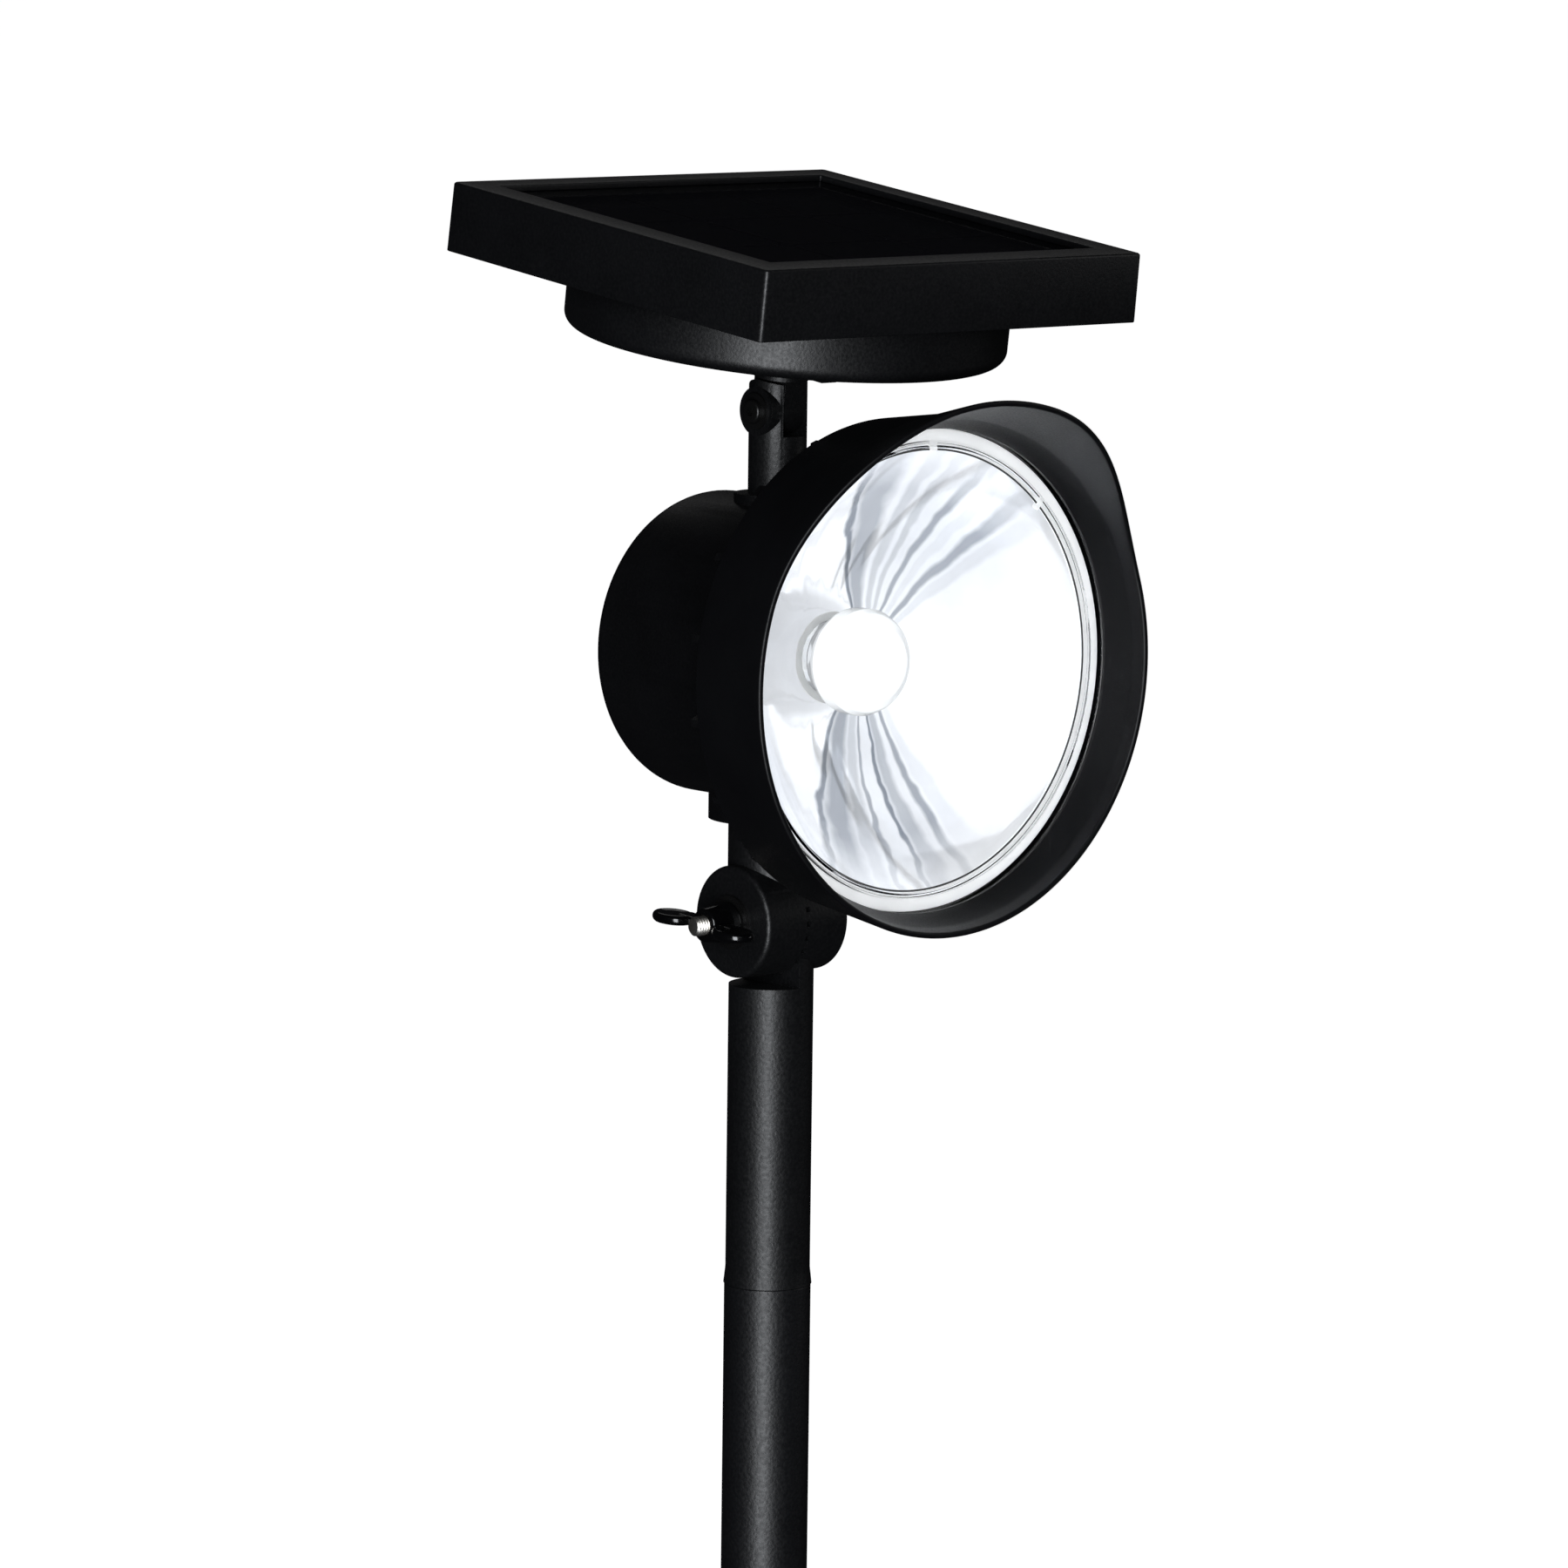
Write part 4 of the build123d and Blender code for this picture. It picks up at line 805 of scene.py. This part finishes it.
# ================================================================ bulb globe
globe_low, globe_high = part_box("bulb_globe")
GLOBE_BACK = -globe_high.y / MM
GLOBE_TIP = -globe_low.y / MM
GLOBE_R = 15.3
GLOBE_STEM_R = 10.7
globe_outline = rounded_outline(
    [
        (GLOBE_BACK, 0, 0),
        (GLOBE_BACK, GLOBE_STEM_R, 0.4),
        (29.6, GLOBE_STEM_R, 0.6),
        (30.4, GLOBE_STEM_R + 0.7, 0.4),
        (31.6, GLOBE_STEM_R + 0.7, 0.4),
        (32.6, GLOBE_STEM_R, 0.6),
        (34.4, GLOBE_R - 1.0, 1.6),
        (36.4, GLOBE_R, 1.6),
        (40.4, GLOBE_R, 1.5),
        (43.4, 14.0, 4.0),
        (46.2, 10.2, 6.0),
        (47.7, 5.0, 8.0),
        (GLOBE_TIP, 0, 0),
    ],
    steps=6,
    closed=False,
)
lamp_solid("globe_lens", globe_outline, 128, "lamp_head", "globe_clear", ("bulb_globe",))

# ================================================================ moulded parts with rounded edges
for node, width in {
    "battery_housing": 0.5,
    "panel_arm": 0.5,
    "neck_bracket": 0.35,
    "upper_post": 0.35,
    "rear_housing": 0.5,
    "panel_stub": 0.4,
    "ground_stake": 0.5,
}.items():
    softened(node, width * MM)

# ================================================================ lower tube
TUBE_LOW, TUBE_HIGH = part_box("lower_tube")
TUBE_R = (TUBE_HIGH.x - TUBE_LOW.x) / 2 / MM
TUBE_BORE_R = 11.5
TUBE_TURNS = 160
tube_outline = rounded_outline(
    [
        (TUBE_LOW.z / MM, TUBE_BORE_R, 0.3),
        (TUBE_LOW.z / MM, TUBE_R, 0.4),
        (TUBE_HIGH.z / MM, TUBE_R, 0.5),
        (TUBE_HIGH.z / MM, TUBE_BORE_R, 0.3),
    ],
    steps=4,
)
tube_points = []
for turn in range(TUBE_TURNS):
    angle = 2 * math.pi * turn / TUBE_TURNS
    for height, radius in tube_outline:
        tube_points.append(
            Vector((radius * math.cos(angle) * MM, radius * math.sin(angle) * MM, height * MM))
        )
mesh_piece(
    "tube_drawn",
    tube_points,
    grid_faces(TUBE_TURNS, len(tube_outline), True, True),
    "ground_pole",
    "pole_paint",
    ("lower_tube",),
)

# ================================================================ panel frame and wafers
PANEL_TILT = math.radians(7.3)
PANEL_ACROSS = Vector((1, 0, 0))
PANEL_UP = Vector((0, -math.sin(PANEL_TILT), math.cos(PANEL_TILT)))
PANEL_BACK = PANEL_UP.cross(PANEL_ACROSS)
HINGE = centre_of("hinge_washer")
FRAME_LOW, FRAME_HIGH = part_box("panel_frame")
FRAME_HALF_X = (FRAME_HIGH.x - FRAME_LOW.x) / 2 / MM
FRAME_HALF_Y = 71.25
FRAME_BASE = 37.0
FRAME_TOP = 57.8
FRAME_CORNER = 1.4
CORNER_POINTS = 5


def panel_point(across, back, height):
    """A point in the tilted panel's own directions, from mm; height is from the hinge."""
    spot = PANEL_ACROSS * across + PANEL_BACK * back + PANEL_UP * height
    return Vector((0, 0, HINGE.z)) + spot * MM


def frame_loop(inset, height):
    """Rounded rectangle of points at an inset from the frame's outer foot."""
    radius = max(0.4, FRAME_CORNER - inset * 0.3)
    loop = []
    for sign_x, sign_y, start in ((1, 1, 0), (-1, 1, 90), (-1, -1, 180), (1, -1, 270)):
        corner_x = sign_x * (FRAME_HALF_X - inset - radius)
        corner_y = sign_y * (FRAME_HALF_Y - inset - radius)
        for step in range(CORNER_POINTS):
            turn = math.radians(start + 90 * step / (CORNER_POINTS - 1))
            across = corner_x + radius * math.cos(turn)
            back = corner_y + radius * math.sin(turn)
            loop.append(panel_point(across, back, height))
    return loop


frame_section = rounded_outline(
    [
        (0, FRAME_BASE, 0.3),
        (0.3, FRAME_TOP - 0.2, 0.8),
        (10.3, FRAME_TOP, 0.5),
        (10.3, FRAME_TOP - 2.0, 0.3),
        (3.22, FRAME_TOP - 2.0, 0.3),
        (2.5, FRAME_BASE, 0.3),
    ],
    steps=4,
)
frame_points = []
for inset, height in frame_section:
    frame_points += frame_loop(inset, height)
mesh_piece(
    "panel_rim",
    frame_points,
    grid_faces(len(frame_section), 4 * CORNER_POINTS, True, True),
    "solar_panel",
    "panel_plastic",
    ("panel_frame",),
)

CELL_LOW, CELL_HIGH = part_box("solar_cells")
WAFER_SIZE = 40.0
WAFER_CORNER = 3.0
WAFER_THICK = 0.7
WAFER_DROP = 0.08
WAFER_ROWS = (-39.4, 0.0, 39.4)
WAFER_COLUMNS = (-41.0, 0.0, 41.0)
WAFER_DEPTH = 38.6
cell_middle = (CELL_LOW + CELL_HIGH) / 2
CELL_HALF_THICK = 0.4
wafer_points = []
wafer_faces = []
wafer_outline = [
    (WAFER_SIZE / 2 - WAFER_CORNER, WAFER_DEPTH / 2),
    (WAFER_SIZE / 2, WAFER_DEPTH / 2 - WAFER_CORNER),
    (WAFER_SIZE / 2, WAFER_CORNER - WAFER_DEPTH / 2),
    (WAFER_SIZE / 2 - WAFER_CORNER, -WAFER_DEPTH / 2),
    (WAFER_CORNER - WAFER_SIZE / 2, -WAFER_DEPTH / 2),
    (-WAFER_SIZE / 2, WAFER_CORNER - WAFER_DEPTH / 2),
    (-WAFER_SIZE / 2, WAFER_DEPTH / 2 - WAFER_CORNER),
    (WAFER_CORNER - WAFER_SIZE / 2, WAFER_DEPTH / 2),
]
for column in WAFER_COLUMNS:
    for row in WAFER_ROWS:
        first = len(wafer_points)
        for height in (CELL_HALF_THICK - WAFER_DROP - WAFER_THICK, CELL_HALF_THICK - WAFER_DROP):
            for u, v in wafer_outline:
                spot = PANEL_ACROSS * (column + u) + PANEL_BACK * (row + v) + PANEL_UP * height
                wafer_points.append(cell_middle + spot * MM)
        count = len(wafer_outline)
        wafer_faces.append(tuple(first + i for i in reversed(range(count))))
        wafer_faces.append(tuple(first + count + i for i in range(count)))
        for i in range(count):
            after = (i + 1) % count
            wafer_faces.append((first + i, first + after, first + count + after, first + count + i))
mesh_piece("solar_wafers", wafer_points, wafer_faces, "solar_panel", "solar_silicon", ("solar_cells",))

# ================================================================ wing nut, turning about the pivot bolt
BOLT_R = 3.0
NUT_STEPS = 64


def nut_point(out, radius, angle):
    """A point about the bolt's axis, from mm; out is the distance from the pole's axis towards -X."""
    return Vector(
        (-out * MM, radius * MM * math.cos(angle), PIVOT.z + radius * MM * math.sin(angle))
    )


nut_low, nut_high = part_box("wing_nut")
NUT_FACE = -nut_high.x / MM
NUT_OUT = NUT_FACE + 10.0
nut_section = rounded_outline(
    [
        (NUT_FACE, BOLT_R, 0.2),
        (NUT_FACE, 6.3, 0.5),
        (NUT_FACE + 1.0, 6.3, 0.6),
        (NUT_OUT, 5.0, 0.9),
        (NUT_OUT, BOLT_R, 0.4),
    ],
    steps=4,
)
hub_points = []
for turn in range(NUT_STEPS):
    hub_points += [nut_point(p[0], p[1], 2 * math.pi * turn / NUT_STEPS) for p in nut_section]
mesh_piece(
    "wing_nut_hub",
    hub_points,
    grid_faces(NUT_STEPS, len(nut_section), True, True),
    "wing_nut",
    "wing_plastic",
    ("wing_nut",),
)

WING_LENGTH = 7.0
WING_WIDTH = 5.8
WING_HALF = 1.5
WING_DISH = 0.35
WING_TURN = math.radians(4)
WING_OUT = 13.5
WING_X = 27.0
WEB_X = 24.0
WEB_HALF = 3.0
WING_TURNS = 72
EDGE_STEPS = 8


def wing_radius(angle, blend):
    """Offsets (radial, along the bolt) of the wing's outline from its centre, scaled by blend."""
    return (WING_LENGTH * math.cos(angle) * blend, WING_WIDTH * math.sin(angle) * blend)


def wing(name, side):
    """Round plate with a full rounded edge and a shallow thumb dish on both faces."""
    levels = [(share, WING_HALF - WING_DISH) for share in (0.25, 0.5, 0.62)]
    levels += [(0.74, WING_HALF - 0.06), (0.78, WING_HALF)]
    for step in range(EDGE_STEPS + 1):
        turn = math.pi * step / EDGE_STEPS
        levels.append((0.80 + 0.20 * math.sin(turn), WING_HALF * math.cos(turn)))
    levels += [(0.78, -WING_HALF), (0.74, 0.06 - WING_HALF)]
    levels += [(share, WING_DISH - WING_HALF) for share in (0.62, 0.5, 0.25)]
    spots = []
    for turn in range(WING_TURNS):
        angle = 2 * math.pi * turn / WING_TURNS
        for share, height in levels:
            along, across = wing_radius(angle, share)
            spots.append((side * (WING_OUT + along), WING_X + across, height))
    rings = len(levels)
    faces = grid_faces(WING_TURNS, rings, True, False)
    first = len(spots)
    for height in (WING_HALF - WING_DISH, WING_DISH - WING_HALF):
        spots.append((side * WING_OUT, WING_X, height))
    for turn in range(WING_TURNS):
        here, after = turn * rings, (turn + 1) % WING_TURNS * rings
        faces.append((first, after, here))
        faces.append((first + 1, here + rings - 1, after + rings - 1))
    return mesh_piece(name, [turned_spot(*spot) for spot in spots], faces, "wing_nut", "wing_plastic")


def turned_spot(y, out, z):
    """A point of the wings' plane, turned a little about the bolt, from mm."""
    return Vector(
        (
            -out * MM,
            (y * math.cos(WING_TURN) - z * math.sin(WING_TURN)) * MM,
            PIVOT.z + (y * math.sin(WING_TURN) + z * math.cos(WING_TURN)) * MM,
        )
    )


def wing_web():
    """Flat web through the hub that joins the two wings, its edges rounded."""
    outline = rounded_outline(
        [
            (WEB_X - WEB_HALF, WING_HALF * 0.93, 0.9),
            (WEB_X + WEB_HALF, WING_HALF * 0.93, 0.9),
            (WEB_X + WEB_HALF, -WING_HALF * 0.93, 0.9),
            (WEB_X - WEB_HALF, -WING_HALF * 0.93, 0.9),
        ],
        steps=4,
    )
    for name, near, far in (("wing_nut_web_a", 3.6, WING_OUT - 2), ("wing_nut_web_b", -3.6, 2 - WING_OUT)):
        points = [turned_spot(y, out, z) for y in (near, far) for out, z in outline]
        count = len(outline)
        faces = grid_faces(2, count, False, True)
        faces.append(tuple(range(count)))
        faces.append(tuple(reversed(range(count, 2 * count))))
        mesh_piece(name, points, faces, "wing_nut", "wing_plastic")


wing_web()
wing("wing_nut_wing_a", 1)
wing("wing_nut_wing_b", -1)

# ================================================================ threaded pivot bolt
bolt_low, bolt_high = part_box("pivot_bolt")
BOLT_TIP = -bolt_low.x / MM
BOLT_HEAD = bolt_high.x / MM
THREAD_START = 6.0
THREAD_PITCH = 1.0
THREAD_DEPTH = 0.55
THREAD_TURNS = 32
BOLT_CHAMFER = 0.8
bolt_points = []
bolt_rows = int((BOLT_TIP - THREAD_START) / THREAD_PITCH * 8)
for row in range(bolt_rows + 1):
    out = THREAD_START + (BOLT_TIP - THREAD_START) * row / bolt_rows
    limit = BOLT_R - max(0.0, BOLT_CHAMFER - (BOLT_TIP - out))
    for turn in range(THREAD_TURNS):
        phase = (out / THREAD_PITCH + turn / THREAD_TURNS) % 1.0
        radius = BOLT_R - THREAD_DEPTH * (1 - abs(2 * phase - 1))
        bolt_points.append(nut_point(out, min(radius, limit), 2 * math.pi * turn / THREAD_TURNS))
bolt_faces = grid_faces(bolt_rows + 1, THREAD_TURNS, False, True)
bolt_faces.append(tuple(range(THREAD_TURNS)))
bolt_faces.append(tuple(reversed(range(bolt_rows * THREAD_TURNS, (bolt_rows + 1) * THREAD_TURNS))))
mesh_piece("pivot_bolt_thread", bolt_points, bolt_faces, "post", "zinc", ("pivot_bolt",))

shank_section = rounded_outline(
    [
        (THREAD_START + 0.2, 0, 0),
        (THREAD_START + 0.2, BOLT_R, 0.1),
        (-BOLT_HEAD + 3.9, BOLT_R, 0.1),
        (-BOLT_HEAD + 3.9, 5.2, 0.3),
        (-BOLT_HEAD, 5.2, 0.6),
        (-BOLT_HEAD, 0, 0),
    ],
    steps=3,
    closed=False,
)
shank_points = []
inner = shank_section[1:-1]
for turn in range(NUT_STEPS):
    shank_points += [nut_point(p[0], p[1], 2 * math.pi * turn / NUT_STEPS) for p in inner]
shank_faces = grid_faces(NUT_STEPS, len(inner), True, False)
shank_first = len(shank_points)
shank_points.append(nut_point(shank_section[0][0], 0, 0))
shank_points.append(nut_point(shank_section[-1][0], 0, 0))
for turn in range(NUT_STEPS):
    here, after = turn * len(inner), (turn + 1) % NUT_STEPS * len(inner)
    shank_faces.append((shank_first, after, here))
    shank_faces.append((shank_first + 1, here + len(inner) - 1, after + len(inner) - 1))
mesh_piece("pivot_bolt_shank", shank_points, shank_faces, "post", "zinc")

# ================================================================ stage, light and camera
FLOOR_HALF = 90.0
FLOOR_GLOW = 1.0


def make_floor():
    """Large pale floor under the spike's tip, seen by the camera only, so that it adds no glare."""
    z = cad_box[0].z - 0.5 * MM
    mesh = bpy.data.meshes.new("floor")
    corners = [(-1, -1), (1, -1), (1, 1), (-1, 1)]
    mesh.from_pydata([(x * FLOOR_HALF, y * FLOOR_HALF, z) for x, y in corners], [], [(0, 1, 2, 3)])
    floor = bpy.data.objects.new("floor", mesh)
    bpy.context.scene.collection.objects.link(floor)
    material, tree, surface = new_material("floor_pale")
    cloud = object_noise(tree, 0.3, detail=2)
    tone = blended_colour(tree, ranged(tree, cloud, 0, 1), (0.86, 0.86, 0.86), (0.90, 0.90, 0.90))
    tree.links.new(tone, surface.inputs["Base Color"])
    surface.inputs["Roughness"].default_value = 0.9
    surface.inputs["Specular IOR Level"].default_value = 0.0
    surface.inputs["Emission Color"].default_value = (1, 1, 1, 1)
    surface.inputs["Emission Strength"].default_value = FLOOR_GLOW
    mesh.materials.append(material)
    floor.visible_diffuse = False
    floor.visible_glossy = False
    floor.visible_transmission = False
    floor.visible_shadow = False


STUDIO_DARK = (0.006, 0.006, 0.007)
THROUGH_CLEAR = (1.08, 1.08, 1.10)


def make_world():
    """White room as seen and through the clear parts; a dark studio in the gloss of the black parts."""
    world = bpy.data.worlds.new("studio")
    bpy.context.scene.world = world
    world.use_nodes = True
    tree = world.node_tree
    background = tree.nodes["Background"]
    path = tree.nodes.new("ShaderNodeLightPath")
    seen = blended_colour(tree, path.outputs["Is Camera Ray"], STUDIO_DARK, (1.0, 1.0, 1.0))
    tree.links.new(
        blended_over(tree, seen, path.outputs["Is Transmission Ray"], THROUGH_CLEAR),
        background.inputs["Color"],
    )


def soft_light(name, azimuth, elevation, distance, width, height, radiance, tint=(1, 1, 1)):
    """Rectangular softbox aimed at the lamp head. Azimuth 0 is in front of the lamp, 90 is +X."""
    a, e = math.radians(azimuth), math.radians(elevation)
    away = Vector((math.sin(a) * math.cos(e), -math.cos(a) * math.cos(e), math.sin(e)))
    data = bpy.data.lights.new(name, "AREA")
    data.shape = "RECTANGLE"
    data.size = width
    data.size_y = height
    data.energy = radiance * math.pi * width * height
    data.color = tint
    lamp = bpy.data.objects.new(name, data)
    lamp.location = Vector((0, 0, PIVOT.z)) + away * distance
    lamp.rotation_mode = "QUATERNION"
    lamp.rotation_quaternion = (-away).to_track_quat("-Z", "Y")
    lamp.visible_camera = False
    bpy.context.scene.collection.objects.link(lamp)


CAMERA_AZIMUTH = -41.385
CAMERA_ELEVATION = 7.894
CAMERA_ROLL = 0.712
CAMERA_LENS = 164.31
CAMERA_PLACE = Vector((-1.3905, -1.5828, 0.7522))


def make_camera():
    a, e = math.radians(CAMERA_AZIMUTH), math.radians(CAMERA_ELEVATION)
    forward = Vector((-math.sin(a) * math.cos(e), math.cos(a) * math.cos(e), -math.sin(e)))
    right = Vector((math.cos(a), math.sin(a), 0))
    down = forward.cross(right)
    roll = math.radians(CAMERA_ROLL)
    level = right * math.cos(roll) - down * math.sin(roll)
    upright = right * math.sin(roll) + down * math.cos(roll)
    turn = Matrix((level, -upright, -forward)).transposed()
    data = bpy.data.cameras.new("camera")
    data.sensor_width = 36
    data.lens = CAMERA_LENS
    data.clip_end = 400
    camera = bpy.data.objects.new("camera", data)
    camera.matrix_world = Matrix.Translation(CAMERA_PLACE) @ turn.to_4x4()
    bpy.context.scene.collection.objects.link(camera)
    bpy.context.scene.camera = camera


make_floor()
make_world()
soft_light("key", -49, 0, 2.7, 1.1, 3.4, 8.0, (0.93, 0.96, 1.0))
soft_light("back", 140, 44, 2.4, 1.3, 0.9, 0.40)
soft_light("side", 60, 20, 2.6, 0.8, 1.6, 0.8)
make_camera()
bpy.context.scene.view_settings.view_transform = "Standard"
